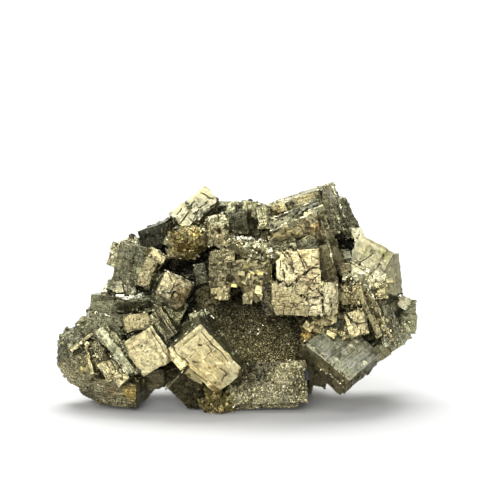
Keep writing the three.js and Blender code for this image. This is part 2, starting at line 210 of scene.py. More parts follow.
# %% Sort the faces into crystals
def crystal_groups(edges, face_of, normals, areas):
    """A crystal number for each face: right angles and parallel steps hold a crystal together."""
    group = list(range(len(areas)))

    def head(number):
        while group[number] != number:
            group[number] = group[group[number]]
            number = group[number]
        return number

    for sides in edges.values():
        if len(sides) != 2:
            continue
        one, other = face_of[sides[0]], face_of[sides[1]]
        if one == other or min(areas[one], areas[other]) < 0.3:
            continue
        turn = normals[one] @ normals[other]
        if abs(turn) < 0.004 or turn > 0.99995:
            group[head(one)] = head(other)
    return [head(number) for number in range(len(areas))]


crystal_of = crystal_groups(rock_edges, face_of, face_normal, face_area)


def crystal_directions(members):
    """Three directions at right angles, the first across the crystal's largest face."""
    members = sorted(members, key=lambda number: -face_area[number])
    first = face_normal[members[0]]
    helper = np.array([0.0, 0.0, 1.0]) if abs(first[2]) < 0.8 else np.array([1.0, 0.0, 0.0])
    second = np.cross(first, helper)
    for number in members[1:]:
        if abs(face_normal[number] @ first) < 0.01:
            second = face_normal[number] - (face_normal[number] @ first) * first
            break
    second = second / np.linalg.norm(second)
    return np.array([first, second, np.cross(first, second)])


members_of = {}
for number, head in enumerate(crystal_of):
    members_of.setdefault(head, []).append(number)
directions_of = {head: crystal_directions(members) for head, members in members_of.items()}
print(sum(len(members) > 2 for members in members_of.values()), "crystals with three faces or more")

# %% [markdown]
# ## Chance that repeats
# A mineral's surface is irregular, but the script must give the same one every time. All chance comes from
# seeded sequences, and the roughness in space comes from a cheap noise: random values at the corners of a
# grid, blended smoothly between them. Large primes mix the numbers of a grid corner into a value that looks
# random.

# %% Noise
def noise(points, size, seed=0):
    """Smooth noise from -1 to 1 at points in mm, with features of about the given size."""
    place = np.asarray(points, float) / size + 71.3
    corner = np.floor(place).astype(np.int64)
    part = place - corner
    part = part * part * (3 - 2 * part)
    total = np.zeros(len(place))
    for dx, dy, dz in np.ndindex(2, 2, 2):
        x, y, z = (corner + (dx, dy, dz)).T
        mixed = x * 73856093 ^ y * 19349663 ^ z * 83492791
        mixed = (mixed ^ (seed * 2654435761)) & 0xFFFFFFFF
        mixed = ((mixed ^ (mixed >> 15)) * 2246822519) & 0xFFFFFFFF
        mixed = ((mixed ^ (mixed >> 13)) * 3266489917) & 0xFFFFFFFF
        value = ((mixed ^ (mixed >> 16)) & 0xFFFFFF) / 0x7FFFFF - 1
        weight = (part[:, 0] if dx else 1 - part[:, 0]) * (part[:, 1] if dy else 1 - part[:, 1])
        total += value * weight * (part[:, 2] if dz else 1 - part[:, 2])
    return total


def band(distance, width):
    """1 on a line, falling off smoothly over about the given width in mm."""
    return np.exp(-(distance / width) ** 2)


sample = noise(np.random.default_rng(1).random((2000, 3)) * 50, 3)
print("noise spans", sample.min().round(2), "to", sample.max().round(2))

# %% [markdown]
# ## Which finish belongs where
# Looking closely at the photo, a handful of finishes repeat: pale gold faces cut into plates, smooth olive
# faces, striped sides, crumbly bright masses, rust, and dark grainy crusts. Each named spot below is where
# a viewer sees that finish. A ray from the camera finds the crystal behind the spot, so the finish stays on
# its crystal from every side. A crystal with no spot of its own takes the finish of the nearest one.

# %% Finishes
def table(parts, rows):
    """Rows of values turned into dictionaries, so that each value is asked for by its name."""
    return {name: dict(zip(parts, row)) for name, row in rows.items()}


# colour: linear red, green, blue. plate: usual size of a plate in mm. level: how far plates sink, in mm.
# crack: share of plate borders that are open. rough: height of the fine roughness, in mm.
# grain, stripe: strength of the fine relief in the material. gloss: how tight the shine is.
FINISHES = table(("colour", "plate", "level", "crack", "rough", "grain", "stripe", "gloss"), {
    "gold plates": ((0.60, 0.52, 0.28), 3.2, 0.3, 0.6, 0.035, 0.1, 0.1, 0.5),
    "wavy gold": ((0.62, 0.54, 0.29), 8.0, 0.1, 0.1, 0.03, -0.08, 0.05, 0.46),
    "pale face": ((0.62, 0.58, 0.36), 4.5, 0.3, 0.35, 0.04, 0.05, 0.2, 0.48),
    "brown gold": ((0.44, 0.385, 0.20), 3.6, 0.25, 0.4, 0.08, 0.35, 0.4, 0.6),
    "olive": ((0.36, 0.345, 0.20), 3.6, 0.25, 0.35, 0.09, 0.35, 0.4, 0.66),
    "smooth grey": ((0.27, 0.262, 0.15), 6.0, 0.15, 0.15, 0.05, 0.15, 0.3, 0.64),
    "dark olive": ((0.17, 0.165, 0.095), 4.5, 0.22, 0.25, 0.09, 0.4, 0.5, 0.62),
    "dark face": ((0.065, 0.064, 0.043), 6.0, 0.2, 0.15, 0.06, 0.4, 0.4, 0.66),
    "brown": ((0.20, 0.175, 0.09), 4.0, 0.25, 0.3, 0.08, 0.35, 0.4, 0.55),
    "striped": ((0.38, 0.37, 0.225), 6.0, 0.2, 0.15, 0.06, 0.3, 1.0, 0.72),
    "grey striped": ((0.66, 0.67, 0.48), 9.0, 0.15, 0.1, 0.08, 0.55, 0.85, 0.4),
    "ribbed": ((0.36, 0.33, 0.19), 8.0, 0.1, 0.1, 0.05, 0.2, 2.0, 0.7),
    "pale bar": ((0.42, 0.42, 0.26), 4.0, 0.4, 0.5, 0.12, 0.6, 0.7, 0.55),
    "bright crumbs": ((0.58, 0.55, 0.34), 2.4, 0.5, 0.45, 0.16, 0.6, 0.2, 0.7),
    "broken": ((0.44, 0.385, 0.20), 1.8, 0.8, 0.5, 0.2, 0.8, 0.2, 0.66),
    "rust": ((0.32, 0.265, 0.105), 2.6, 0.4, 0.4, 0.22, 0.8, 0.0, 0.5),
    "grainy": ((0.36, 0.33, 0.195), 9.0, 0.1, 0.05, 0.10, 0.9, 0.0, 0.55),
    "dark grainy": ((0.10, 0.086, 0.042), 9.0, 0.1, 0.05, 0.05, 1.0, 0.0, 0.6),
    # the near-black finish of hollows, holes and gaps between crystals is painted shade
    "black hollow": ((0.045, 0.041, 0.027), 3.0, 0.3, 0.3, 0.14, 1.0, 0.2, 0.6),
})
SMOOTH = ("gold plates", "wavy gold", "pale face", "smooth grey", "grey striped")
CRUMBLY = ("rust", "broken", "bright crumbs")
print(len(FINISHES), "finishes")

# %% Where each finish is seen
# name: (across and down in the photo's frame), finish of that face, finish of the crystal's other faces,
# and where it differs, how light that face is next to its finish; that lightness, and the darker finish of
# the other faces, is partly the crystal's own tarnish and partly painted light and shade
SPOTS = {
    # the dark finish on the left gold cube's other faces is painted shade
    "left gold cube": ((148, 353), "wavy gold", "dark face", 0.84),
    "left gold cube side": ((167, 342), "striped", "dark face", 0.7),
    "centre gold cube": ((208, 350), "gold plates", "smooth grey", 1.35),
    "centre gold flake": ((179, 359), "gold plates", "gold plates"),
    "centre gold chip": ((196, 377), "gold plates", "rust"),
    "centre corner block": ((192, 312), "olive", "smooth grey"),
    "perched cube": ((176, 283), "gold plates", "dark olive", 0.74),
    "wall block": ((304, 300), "gold plates", "brown", 0.5),
    "wall rib": ((335, 301), "gold plates", "brown"),
    "wall crumbs": ((290, 246), "bright crumbs", "brown", 0.48),
    "nested cube": ((300, 226), "brown gold", "smooth grey", 0.8),
    "nested cube post": ((326, 255), "brown", "dark olive", 0.85),
    "outer cube": ((343, 215), "olive", "olive", 0.5),
    "outer cube side": ((350, 212), "striped", "olive", 0.75),
    "outer cube ledge": ((277, 210), "brown gold", "olive"),
    "striped cube": ((345, 350), "grey striped", "brown", 1.4),
    "striped cube layers": ((325, 372), "brown", "brown"),
    "beige block": ((357, 325), "gold plates", "olive", 0.62),
    "brown block": ((353, 292), "broken", "brown", 0.8),
    "slanting slab 1": ((371, 308), "brown gold", "brown", 0.7),
    "slanting slab 2": ((382, 320), "ribbed", "brown", 0.8),
    "slanting slab 3": ((392, 328), "striped", "brown", 0.8),
    "grey knob": ((391, 311), "smooth grey", "dark olive", 0.9),
    # the dark of the down-facing leaning cube and of the hollow's back is partly painted shade
    "dark leaning cube": ((190, 391), "dark grainy", "dark grainy"),
    "hollow back": ((250, 345), "dark grainy", "dark grainy"),
    "foot block": ((262, 392), "grainy", "grainy", 1.05),
    "foot block base": ((275, 403), "grainy", "grainy"),
    # the foot block corner is darkened as painted shade in the recess beside the striped cube
    "foot block corner": ((308, 382), "brown", "brown", 0.6),
    # the hollows and holes below are painted near black: painted shade
    "hollow left": ((210, 300), "black hollow", "black hollow"),
    "hollow left high": ((203, 305), "black hollow", "black hollow"),
    "hollow top": ((236, 292), "black hollow", "black hollow"),
    "perched cube foot": ((180, 303), "brown", "brown", 1.2),
    "hollow top right": ((262, 302), "black hollow", "black hollow"),
    "hole beside the lump": ((190, 268), "black hollow", "black hollow"),
    "hole under the lump": ((182, 262), "black hollow", "black hollow"),
    "hole by the shelf": ((345, 243), "black hollow", "black hollow"),
    "hole by the foot": ((172, 375), "black hollow", "black hollow"),
    "foot block top": ((290, 372), "grainy", "olive"),
    "foot rust": ((213, 400), "rust", "rust"),
    "foot rust high": ((214, 390), "rust", "rust"),
    "left foot": ((115, 396), "brown gold", "brown", 0.42),
    "arch": ((152, 386), "brown", "dark olive"),
    "long bar": ((113, 352), "pale bar", "olive", 1.25),
    "long bar flank": ((121, 350), "olive", "olive"),
    "long bar foot": ((110, 368), "brown gold", "brown"),
    "bar end cube": ((120, 378), "gold plates", "brown", 0.65),
    "leaning wedge": ((97, 355), "ribbed", "dark olive", 1.2),
    "upright blade": ((88, 361), "brown gold", "brown"),
    "cross blade": ((82, 343), "brown gold", "dark olive"),
    "left slab": ((70, 345), "olive", "dark olive", 0.66),
    "left granular rock": ((70, 368), "grainy", "grainy", 0.85),
    "smooth grey block": ((106, 326), "smooth grey", "smooth grey", 0.37),
    "grey stack block": ((98, 303), "smooth grey", "smooth grey", 0.48),
    "small dark row": ((132, 306), "dark olive", "dark olive", 0.8),
    "wavy gold block": ((137, 320), "wavy gold", "olive", 0.36),
    "upper striped cube": ((163, 322), "ribbed", "dark olive", 0.9),
    # the white ledge faces up and is painted twice as light: a painted highlight
    "white ledge": ((133, 297), "bright crumbs", "olive", 2.0),
    "pale layered block": ((118, 285), "bright crumbs", "olive", 0.34),
    "green grey block": ((128, 262), "smooth grey", "smooth grey", 0.42),
    "upright gold plate": ((147, 273), "brown gold", "brown", 0.6),
    "plate cap": ((158, 257), "brown gold", "olive"),
    "left lobe": ((111, 256), "bright crumbs", "olive", 0.8),
    "dark cube": ((151, 238), "dark face", "dark olive"),
    "crest cube": ((186, 208), "pale face", "dark olive", 0.95),
    "crest ledge": ((212, 204), "olive", "dark olive"),
    "rust lump": ((189, 241), "rust", "rust", 0.85),
    "chip block 1": ((217, 222), "bright crumbs", "broken", 1.2),
    "chip block 2": ((218, 238), "broken", "olive", 0.6),
    "dark chip block": ((238, 225), "dark olive", "dark olive", 0.6),
    "pitted block": ((250, 208), "olive", "dark olive"),
    "pale green block": ((264, 218), "olive", "dark olive"),
    "wedge ledge": ((256, 243), "bright crumbs", "broken", 0.75),
    "wedge slab": ((241, 250), "brown", "bright crumbs", 0.8),
    "wedge slab lip": ((260, 257), "bright crumbs", "brown", 0.8),
    "middle crumbs": ((221, 252), "broken", "brown", 0.9),
    "middle block left": ((215, 270), "broken", "brown", 0.45),
    "middle block": ((247, 272), "broken", "rust", 0.48),
    "middle lower cube 1": ((222, 294), "broken", "brown"),
    "middle lower cube 2": ((254, 294), "broken", "dark olive"),
    "recess cube": ((202, 277), "dark olive", "dark olive"),
    "bright face block": ((368, 256), "pale face", "olive", 0.88),
    "bright face facet": ((375, 273), "pale face", "olive", 1.4),
    "bright face tip": ((358, 232), "pale face", "olive", 0.9),
    "lit shelf": ((391, 254), "olive", "olive", 1.2),
    "bright ledges": ((356, 277), "bright crumbs", "bright crumbs"),
    "grey end block": ((394, 272), "pale face", "smooth grey", 0.85),
    "beige cap block": ((381, 292), "broken", "brown"),
    "recess cube right": ((344, 262), "brown", "dark olive"),
    "right lobe": ((410, 318), "smooth grey", "olive", 1.9),
    "right lobe facet": ((406, 302), "pale face", "olive", 0.75),
    "right underside": ((391, 347), "olive", "olive", 1.0),
    "debris": ((331, 331), "broken", "brown", 0.8),
}

# faces that differ from the rest of their crystal: where, finish, lightness; the lightness is partly
# painted light and shade
FACES = {
    "wall, top step": ((296, 266), "gold plates", 0.95),
    "nested cube, top band": ((300, 214), "smooth grey", 0.62),
    "nested cube, front": ((285, 227), "brown gold", 0.9),
    "perched cube, top": ((188, 276), "olive", 0.9),
}

# the photo doesn't show the back: its crystals take turns at the quieter finishes
BACK_FINISHES = ["olive", "brown gold", "smooth grey", "brown", "striped", "olive", "gold plates"]
BACK_FROM = 3                                  # mm behind the middle
TO_VIEWER = np.array([0.0, -0.94, 0.34])

rock_tree = BVHTree.FromPolygons([Vector(p) for p in rock_points], rock_triangles.tolist())


def seen_at(across, down, tree=rock_tree):
    """The place on the solid, and its triangle, that the camera sees at a spot of the photo."""
    sideways = (across - PICTURE / 2) * FIELD / PICTURE
    raised = (PICTURE / 2 - down) * FIELD / PICTURE
    ray = forward * DISTANCE + Vector((sideways, 0, 0)) + upward * raised
    place, _, triangle, _ = tree.ray_cast(stand, ray.normalized())
    return place, triangle


spot_places, spot_kinds, finish_of, shade_of, spot_of = [], [], {}, {}, {}
for name, (where, front, other, *shade) in SPOTS.items():
    place, triangle = seen_at(*where)
    if place is None:
        print("no crystal behind the spot", name)
        continue
    lightness = shade[0] if shade else 1.0
    spot_places.append(place)
    spot_kinds.append((front, other, lightness, name))
    seen = face_of[triangle]
    for number in members_of[crystal_of[seen]]:
        alike = face_normal[number] @ face_normal[seen] > 0.9
        if number not in finish_of:
            finish_of[number] = front if alike else other
            shade_of[number] = lightness if alike else 1.0
            spot_of[number] = name
spot_places = np.array(spot_places)
for number in range(FACE_COUNT):
    if number not in finish_of:
        nearest = np.argmin(np.linalg.norm(spot_places - face_middle[number], axis=1))
        front, other, lightness, spot_of[number] = spot_kinds[nearest]
        turned_to_viewer = face_normal[number] @ TO_VIEWER > 0.5
        shade_of[number] = lightness if turned_to_viewer else 1.0
        finish_of[number] = front if turned_to_viewer else other
        if face_middle[number][1] > BACK_FROM and not turned_to_viewer:
            finish_of[number] = BACK_FINISHES[crystal_of[number] % len(BACK_FINISHES)]
for where, finish, lightness in FACES.values():
    number = int(face_of[seen_at(*where)[1]])
    finish_of[number] = finish
    shade_of[number] = lightness
print(len(spot_places), "spots found;", len(set(finish_of.values())), "finishes in use")

# %% [markdown]
# ## Local stains and painted shade
# Some marks belong to a place, not to a crystal: rust where water stood, a brown film low on the wall, a
# paler corner. Others are painted shade: dark blots at the foot block's top left and under the hollow,
# dark pits on the outer cube, under the crest cube and beside the grey knob; and one is a painted sheen on
# the striped cube. Each is a soft, uneven blot round one spot, and keeps its place in space, so it
# crosses edges.

# %% Stains and painted shade
# name: (across and down in the photo's frame), radius in mm, colour, strength
STAINS_AND_PAINTED_LIGHT = {
    "rust on the left foot": ((132, 393), 2.4, (0.46, 0.33, 0.08), 0.8),
    "rust at the left foot's edge": ((112, 392), 1.5, (0.34, 0.23, 0.09), 0.5),
    "rust under the centre cube": ((216, 390), 2.4, (0.34, 0.245, 0.08), 0.8),
    "rust low at the foot": ((222, 404), 3.2, (0.30, 0.25, 0.10), 0.8),
    "brown at the centre cube's corner": ((222, 373), 2.4, (0.40, 0.30, 0.12), 0.55),
    "rust beside the striped cube": ((306, 336), 2.0, (0.50, 0.36, 0.12), 0.8),
    "rust over the striped cube": ((314, 330), 1.8, (0.42, 0.34, 0.14), 0.5),
    "rust on the nested cube": ((317, 228), 1.5, (0.50, 0.33, 0.12), 0.7),
    "yellow on the lump": ((195, 233), 1.3, (0.60, 0.46, 0.16), 0.8),
    "brown on the lump": ((182, 246), 2.4, (0.15, 0.095, 0.025), 0.8),
    "brown low on the lump": ((203, 248), 2.2, (0.17, 0.11, 0.03), 0.8),
    "dark top of the lump": ((180, 256), 2.0, (0.10, 0.085, 0.04), 0.7),
    "brown film low on the wall": ((284, 302), 4.6, (0.27, 0.225, 0.11), 0.9),
    "green film mid wall": ((292, 292), 2.0, (0.30, 0.27, 0.14), 0.7),
    "brown film mid wall": ((307, 278), 2.2, (0.36, 0.28, 0.15), 0.7),
    "warm spot high on the wall": ((304, 254), 1.6, (0.60, 0.47, 0.19), 0.7),
    "pale corner of the wall": ((320, 306), 3.6, (0.70, 0.63, 0.38), 0.7),
    "pale plates right of the wall": ((327, 290), 2.2, (0.66, 0.60, 0.36), 0.6),
    "brown on the centre face": ((196, 366), 1.8, (0.42, 0.34, 0.16), 0.5),
    "brown half of the perched cube": ((181, 299), 3.1, (0.10, 0.076, 0.032), 1.0),
    "brown end of the perched cube": ((187, 291), 1.8, (0.17, 0.13, 0.055), 0.9),
    "olive corner of the perched cube": ((158, 299), 2.2, (0.06, 0.057, 0.033), 1.0),
    "olive foot of the perched cube": ((167, 304), 1.9, (0.06, 0.057, 0.033), 1.0),
    "green on the striped cube": ((316, 346), 2.6, (0.48, 0.50, 0.33), 0.5),
    "dark bend on the striped cube": ((337, 352), 1.9, (0.27, 0.28, 0.19), 0.7),
    "olive end of the striped cube": ((350, 372), 1.7, (0.36, 0.34, 0.20), 0.7),
    # painted sheen: the bright reflection on the striped cube
    "painted sheen on the striped cube": ((328, 356), 1.6, (0.80, 0.80, 0.62), 0.7),
    "beige on the striped cube": ((378, 352), 2.2, (0.50, 0.45, 0.28), 0.8),
    # painted shade: the foot block darkens towards its top left and under the hollow's overhang
    "painted shade left of the foot block": ((236, 386), 3.6, (0.13, 0.115, 0.055), 0.7),
    "painted shade top left of the foot block": ((253, 367), 4.4, (0.06, 0.053, 0.027), 0.9),
    "painted shade at the foot block's left edge": ((246, 376), 3.2, (0.08, 0.07, 0.036), 0.85),
    "painted shade under the hollow": ((262, 361), 2.4, (0.10, 0.088, 0.045), 0.8),
    "green patch on the bright face": ((350, 252), 2.6, (0.26, 0.27, 0.18), 0.9),
    "yellow patch on the bright face": ((365, 252), 2.2, (0.46, 0.44, 0.22), 0.6),
    "yellow on the lit shelf": ((385, 254), 1.6, (0.50, 0.48, 0.18), 0.7),
    # painted shadow on the outer cube
    "painted shadow in the outer cube": ((291, 204), 1.5, (0.035, 0.032, 0.02), 1.0),
    "painted shadow left of it": ((276, 214), 1.2, (0.10, 0.08, 0.03), 0.8),
    "shade beside the grey knob": ((398, 316), 2.0, (0.03, 0.03, 0.02), 1.0),
    "shade under the crest cube": ((176, 228), 1.5, (0.02, 0.02, 0.012), 1.0),
    "pale streak on the long bar": ((103, 338), 1.6, (0.50, 0.50, 0.30), 0.7),
    "dark patch on the long bar": ((112, 351), 1.3, (0.17, 0.17, 0.10), 0.8),
    "brown patch on the long bar": ((121, 364), 1.3, (0.26, 0.22, 0.12), 0.8),
    "pale end of the outer cube": ((328, 190), 2.0, (0.62, 0.58, 0.40), 0.8),
}
stains_and_painted_light = []
for where, radius, colour, strength in STAINS_AND_PAINTED_LIGHT.values():
    place, _ = seen_at(*where)
    if place is not None:
        stains_and_painted_light.append((np.array(place), radius, np.array(colour), strength))
print(len(stains_and_painted_light), "stains_and_painted_light")


def with_stains_and_painted_light(tint, spots, light):
    """The tint with each local stain, patch of painted shade or painted sheen near these places laid over it.
    """
    for place, radius, colour, strength in stains_and_painted_light:
        far = np.linalg.norm(spots - place, axis=1) / radius
        if far.min() > 1.6:
            continue
        cover = np.clip(1.35 - far + 0.55 * noise(spots, 0.35 * radius, 19), 0, 1) * strength
        tint = tint * (1 - cover)[:, None] + cover[:, None] * colour * light[:, None]
    return tint


# %% [markdown]
# ## Cracks that one can point at
# A few large cracks and joints make each big face recognisable, as the lines of a hand do. Chance wouldn't
# put them in the right place, so they are drawn: each is a line of corners in the photo's frame, thrown
# onto the solid from the camera. Later the surface gets two rows of sunk points along it, between two rows
# that stay up.

# %% Drawn cracks
# name: width in mm, then corners of the crack in the photo's frame
CRACKS = {
    "wall, over the first plate": (0.3, (283, 254), (287, 258), (290, 258)),
    "wall, beside the second plate": (0.5, (289, 255), (291, 260), (293, 265)),
    "wall, under the second plate": (0.35, (290, 265), (292, 268), (294, 272)),
    "wall, beside the third plate": (0.3, (299, 255), (301, 260), (303, 264), (305, 269)),
    "wall, left nick": (0.5, (283, 270), (284, 274), (285, 278)),
    "wall, upper nick": (0.35, (286, 265), (287, 268)),
    "wall, middle nick": (0.5, (296, 274), (299, 273)),
    "wall, long crack": (0.4, (279, 283), (283, 281), (285, 282), (286, 285), (288, 287), (291, 285),
        (294, 284), (299, 283)),
    "wall, slanting crack": (0.5, (291, 285), (296, 280), (299, 277), (303, 275), (306, 274),
        (309, 270), (313, 268), (318, 268)),
    "wall, plate's lower edge": (0.3, (310, 279), (313, 280), (316, 277), (319, 275)),
    "wall, right step": (0.35, (307, 284), (311, 290), (314, 291)),
    "wall, right ledge": (0.35, (314, 284), (322, 283)),
    "wall, pale corner's top": (0.45, (306, 300), (312, 298), (318, 297), (322, 296)),
    "wall, pale corner's crossing": (0.35, (322, 299), (327, 299), (331, 300)),
    "wall, pale corner's upright": (0.35, (321, 284), (321, 290), (323, 296), (323, 303), (324, 310),
        (322, 315)),
    "wall, slanting joint": (0.3, (317, 289), (320, 293), (322, 296)),
    "wall, last upright": (0.3, (331, 300), (332, 306), (331, 314)),
    "wall, pale corner's nick": (0.35, (309, 308), (312, 305), (317, 305)),
    "wall, dark pit": (1.0, (302, 296), (305, 298)),
    "centre face, flake's joint": (0.5, (174, 348), (175, 352), (178, 356), (182, 358), (186, 360),
        (189, 364)),
    "centre face, beside the ridge": (0.3, (200, 331), (205, 336), (210, 342), (213, 346), (217, 349),
        (222, 353), (229, 363)),
    "centre face, nick": (0.5, (199, 345), (203, 346)),
    "centre face, pit": (0.6, (211, 344), (213, 346)),
    "centre face, rusty crack": (0.35, (221, 369), (224, 371), (227, 374), (224, 377), (222, 380)),
    "centre face, low joint": (0.35, (190, 369), (196, 374), (203, 379), (208, 383)),
    "centre face, small nick": (0.3, (194, 362), (198, 363)),
    "crest cube, long joint": (0.5, (181, 222), (185, 217), (189, 211), (191, 206), (193, 202)),
    "crest cube, end joint": (0.4, (202, 193), (206, 195), (209, 198), (213, 198)),
    "crest cube, low joint": (0.35, (194, 219), (197, 212), (201, 206), (207, 203)),
    "crest cube, nick": (0.35, (177, 214), (180, 211), (182, 208)),
    "perched cube, brown edge": (0.35, (157, 291), (165, 293), (170, 293), (172, 290), (175, 286),
        (180, 284)),
    "perched cube, dark step": (0.6, (172, 296), (174, 292), (176, 291)),
    "perched cube, scratch": (0.25, (168, 273), (170, 277), (172, 281)),
    "bright face, nicks": (0.4, (362, 269), (365, 271)),
    "bright face, second nick": (0.4, (366, 270), (369, 269)),
    "bright face, ledge": (0.5, (350, 272), (356, 273), (363, 276)),
    "bright face, streak": (0.3, (360, 262), (367, 258), (375, 252)),
    "bright face, low streak": (0.3, (366, 278), (373, 272), (381, 263)),
    "beige block, dark notch": (0.8, (347, 314), (350, 319), (353, 325)),
    "beige block, joint": (0.3, (354, 322), (360, 324), (366, 322)),
    "beige block, upper joint": (0.3, (350, 310), (356, 308), (362, 312)),
    "slabs, left gap": (0.8, (363, 285), (368, 297), (374, 311), (382, 331)),
    "slabs, right gap": (0.5, (372, 288), (379, 303), (386, 320), (391, 334)),
    "slabs, upper line": (0.4, (366, 300), (371, 312), (376, 322)),
    "outer cube, shadow line": (0.7, (273, 219), (284, 214), (296, 209), (308, 204), (317, 201)),
    "nested cube, shadow beside the post": (0.6, (318, 214), (320, 224), (321, 236), (319, 246)),
    "outer cube, joint": (0.4, (320, 186), (321, 194), (322, 201)),
    "nested cube, first joint": (0.35, (313, 221), (316, 227), (314, 234)),
    "nested cube, second joint": (0.3, (303, 222), (302, 228), (304, 235)),
    "nested cube, third joint": (0.3, (285, 229), (287, 236), (288, 241)),
    "foot block, joint": (0.35, (275, 357), (279, 364), (283, 371)),
    "foot block, second joint": (0.3, (262, 371), (268, 371), (273, 374)),
    "foot block, nick": (0.35, (289, 378), (292, 381), (293, 385)),
    "long bar, joint": (0.3, (100, 344), (108, 357), (116, 369), (121, 374)),
    "bar end, upper joint": (0.5, (112, 374), (117, 370), (121, 366)),
    "left rock, notch": (0.7, (85, 344), (88, 343), (90, 341)),
    "striped cube, dark bend": (0.5, (337, 343), (342, 346), (348, 344)),
}
# share of the width, share of the depth
CRACK_PROFILE = ((-0.5, 0.0), (-0.18, 1.0), (0.18, 1.0), (0.5, 0.0))


def follow(corners, step, tree=rock_tree):
    """Places on the solid along a line drawn in the photo's frame, with the triangle and the way on."""
    for start, stop in zip(corners, corners[1:]):
        count = max(1, round(math.dist(start, stop) / step))
        way = np.array([stop[0] - start[0], 0.0, start[1] - stop[1]], float)
        for share in np.arange(count) / count:
            spot = np.array(start) + (np.array(stop) - np.array(start)) * share
            place, triangle = seen_at(*spot.tolist(), tree)
            if place is not None:
                yield np.array(place), triangle, way / np.linalg.norm(way)


cracks_on = {}
for width, *corners in CRACKS.values():
    for place, triangle, way in follow(corners, 1.0):
        cracks_on.setdefault(int(face_of[triangle]), []).append((place, way, width))
print("drawn cracks cross", len(cracks_on), "faces")


def crack_rows(number, centre, first, second, chance):
    """Points for the cracks drawn on a face: two sunk ones between two at its level."""
    rows, sunk = [], []
    for place, way, width in cracks_on.get(number, []):
        middle = np.array([(place - centre) @ first, (place - centre) @ second])
        along = np.array([way @ first, way @ second])
        side = np.array([-along[1], along[0]]) / max(np.linalg.norm(along), 1e-6)
        width = width * chance.uniform(0.6, 1.2)
        for offset, low in CRACK_PROFILE:
            rows.append(middle + side * (offset * width + 0.04 * np.sign(offset)))
            sunk.append(low * (0.22 + 0.7 * width))
    return np.array(rows).reshape(-1, 2), np.array(sunk)


# %% [markdown]
# ## Plates on a face
# A face of pyrite is rarely one plane. Growth stops and starts, and later the crystal breaks along its
# cleavage, so the face becomes a patchwork of plates at slightly different depths, with open cracks between
# some of them. A face is cut in two, again and again, always along one of the crystal's own directions,
# until the pieces are plates. The cuts wander a little and jog sideways, as real cracks do.

# %% Cut a face into plates
def cut_into_plates(low, high, finish, chance):
    """A tree of cuts; each end piece is a plate with its own depth, lean and shade."""
    size, usual = high - low, finish["plate"]
    parts = size / usual
    if parts.max() < 1.25 or (parts.max() < 2.2 and chance.random() < 0.2):
        depth = finish["level"] * chance.choice([0.0, 0.0, 0.0, 0.15, 0.5, 1.0])
        return dict(depth=depth, lean=chance.normal(0, 0.016, 2), middle=(low + high) / 2,
                    shade=chance.uniform(-1, 1))
    axis = int(parts[1] > parts[0] * (0.75 + 0.5 * chance.random()))
    at = low[axis] + size[axis] * chance.uniform(0.32, 0.68)
    cut = dict(axis=axis, at=at, start=low[1 - axis], stop=high[1 - axis],
               sway=chance.uniform(0.03, 0.11) * usual, swing=chance.uniform(0.5, 1.5),
               begin=chance.uniform(0, 6.3), jog=chance.uniform(0.0, 0.1) * usual,
               pace=chance.uniform(0.7, 1.8), later=chance.uniform(0, 6.3),
               open=chance.random() < finish["crack"], gap=chance.uniform(0.05, 0.13),
               part=chance.uniform(0, 6.3))
    near_high, far_low = high.copy(), low.copy()
    near_high[axis] = at
    far_low[axis] = at
    halves = ((low, near_high), (far_low, high))
    cut["kids"] = [cut_into_plates(*corners, finish, chance) for corners in halves]
    return cut


def cut_line(cut, along):
    """Where a cut runs, at places along it."""
    return (cut["at"] + cut["sway"] * np.sin(along * cut["swing"] + cut["begin"])
            + cut["jog"] * np.tanh(5 * np.sin(along * cut["pace"] + cut["later"])))


def plate_depths(tree, flat):
    """How deep, and how light or dark, the plate is at points given in the face's own two directions."""
    depth, shade = np.zeros(len(flat)), np.zeros(len(flat))

    def fill(piece, which):
        if len(which) == 0:
            return
        if "kids" not in piece:
            depth[which] = piece["depth"] + (flat[which] - piece["middle"]) @ piece["lean"]
            shade[which] = piece["shade"]
            return
        side = flat[which, piece["axis"]] < cut_line(piece, flat[which, 1 - piece["axis"]])
        fill(piece["kids"][0], which[side])
        fill(piece["kids"][1], which[~side])

    fill(tree, np.arange(len(flat)))
    return depth, shade


def cut_points(tree, spacing):
    """Rows of points on both sides of every cut, and down the middle of the open ones."""
    rows, sunk = [np.zeros((0, 2))], [np.zeros(0)]

    def walk(piece):
        if "kids" not in piece:
            return
        count = max(2, int((piece["stop"] - piece["start"]) / spacing) + 1)
        along = np.linspace(piece["start"], piece["stop"], count)
        line = cut_line(piece, along)
        yawn = np.sin(along * 0.9 + piece["part"]) + 0.6 * np.sin(along * 2.3 + 2 * piece["part"])
        gaping = (yawn > 0.25) if piece["open"] else np.zeros(count, bool)
        half = np.where(gaping, piece["gap"] * np.clip(0.5 + yawn, 0.4, 1.3), 0.035)
        for offset, low in ((-half, 0.0), (half, 0.0), (np.zeros(count), 1.0)):
            keep = gaping if low else np.ones(count, bool)
            spot = np.empty((int(keep.sum()), 2))
            spot[:, piece["axis"]] = (line + offset)[keep]
            spot[:, 1 - piece["axis"]] = along[keep]
            rows.append(spot)
            sunk.append(np.full(len(spot), low * (0.25 + 1.6 * piece["gap"])))
        walk(piece["kids"][0])
        walk(piece["kids"][1])

    walk(tree)
    return np.vstack(rows), np.concatenate(sunk)


trial = cut_into_plates(np.zeros(2), np.full(2, 20.0), FINISHES["gold plates"], np.random.default_rng(1))
print("the cuts of a gold face 20 mm wide take", len(cut_points(trial, 0.5)[0]), "points")

# %% [markdown]
# ## Points for a finer surface
# The outline of every face is divided first, and the two faces that share an edge share its points, so the
# new surface stays closed. Inside a face the points follow the cuts, and an even scatter fills the rest.
# Faces that look to the front get the closest points, because that side is seen most; the back makes do
# with fewer.

# %% Divide the outlines
FINE, MIDDLING, COARSE = 0.50, 0.72, 1.0      # spacing of points in mm

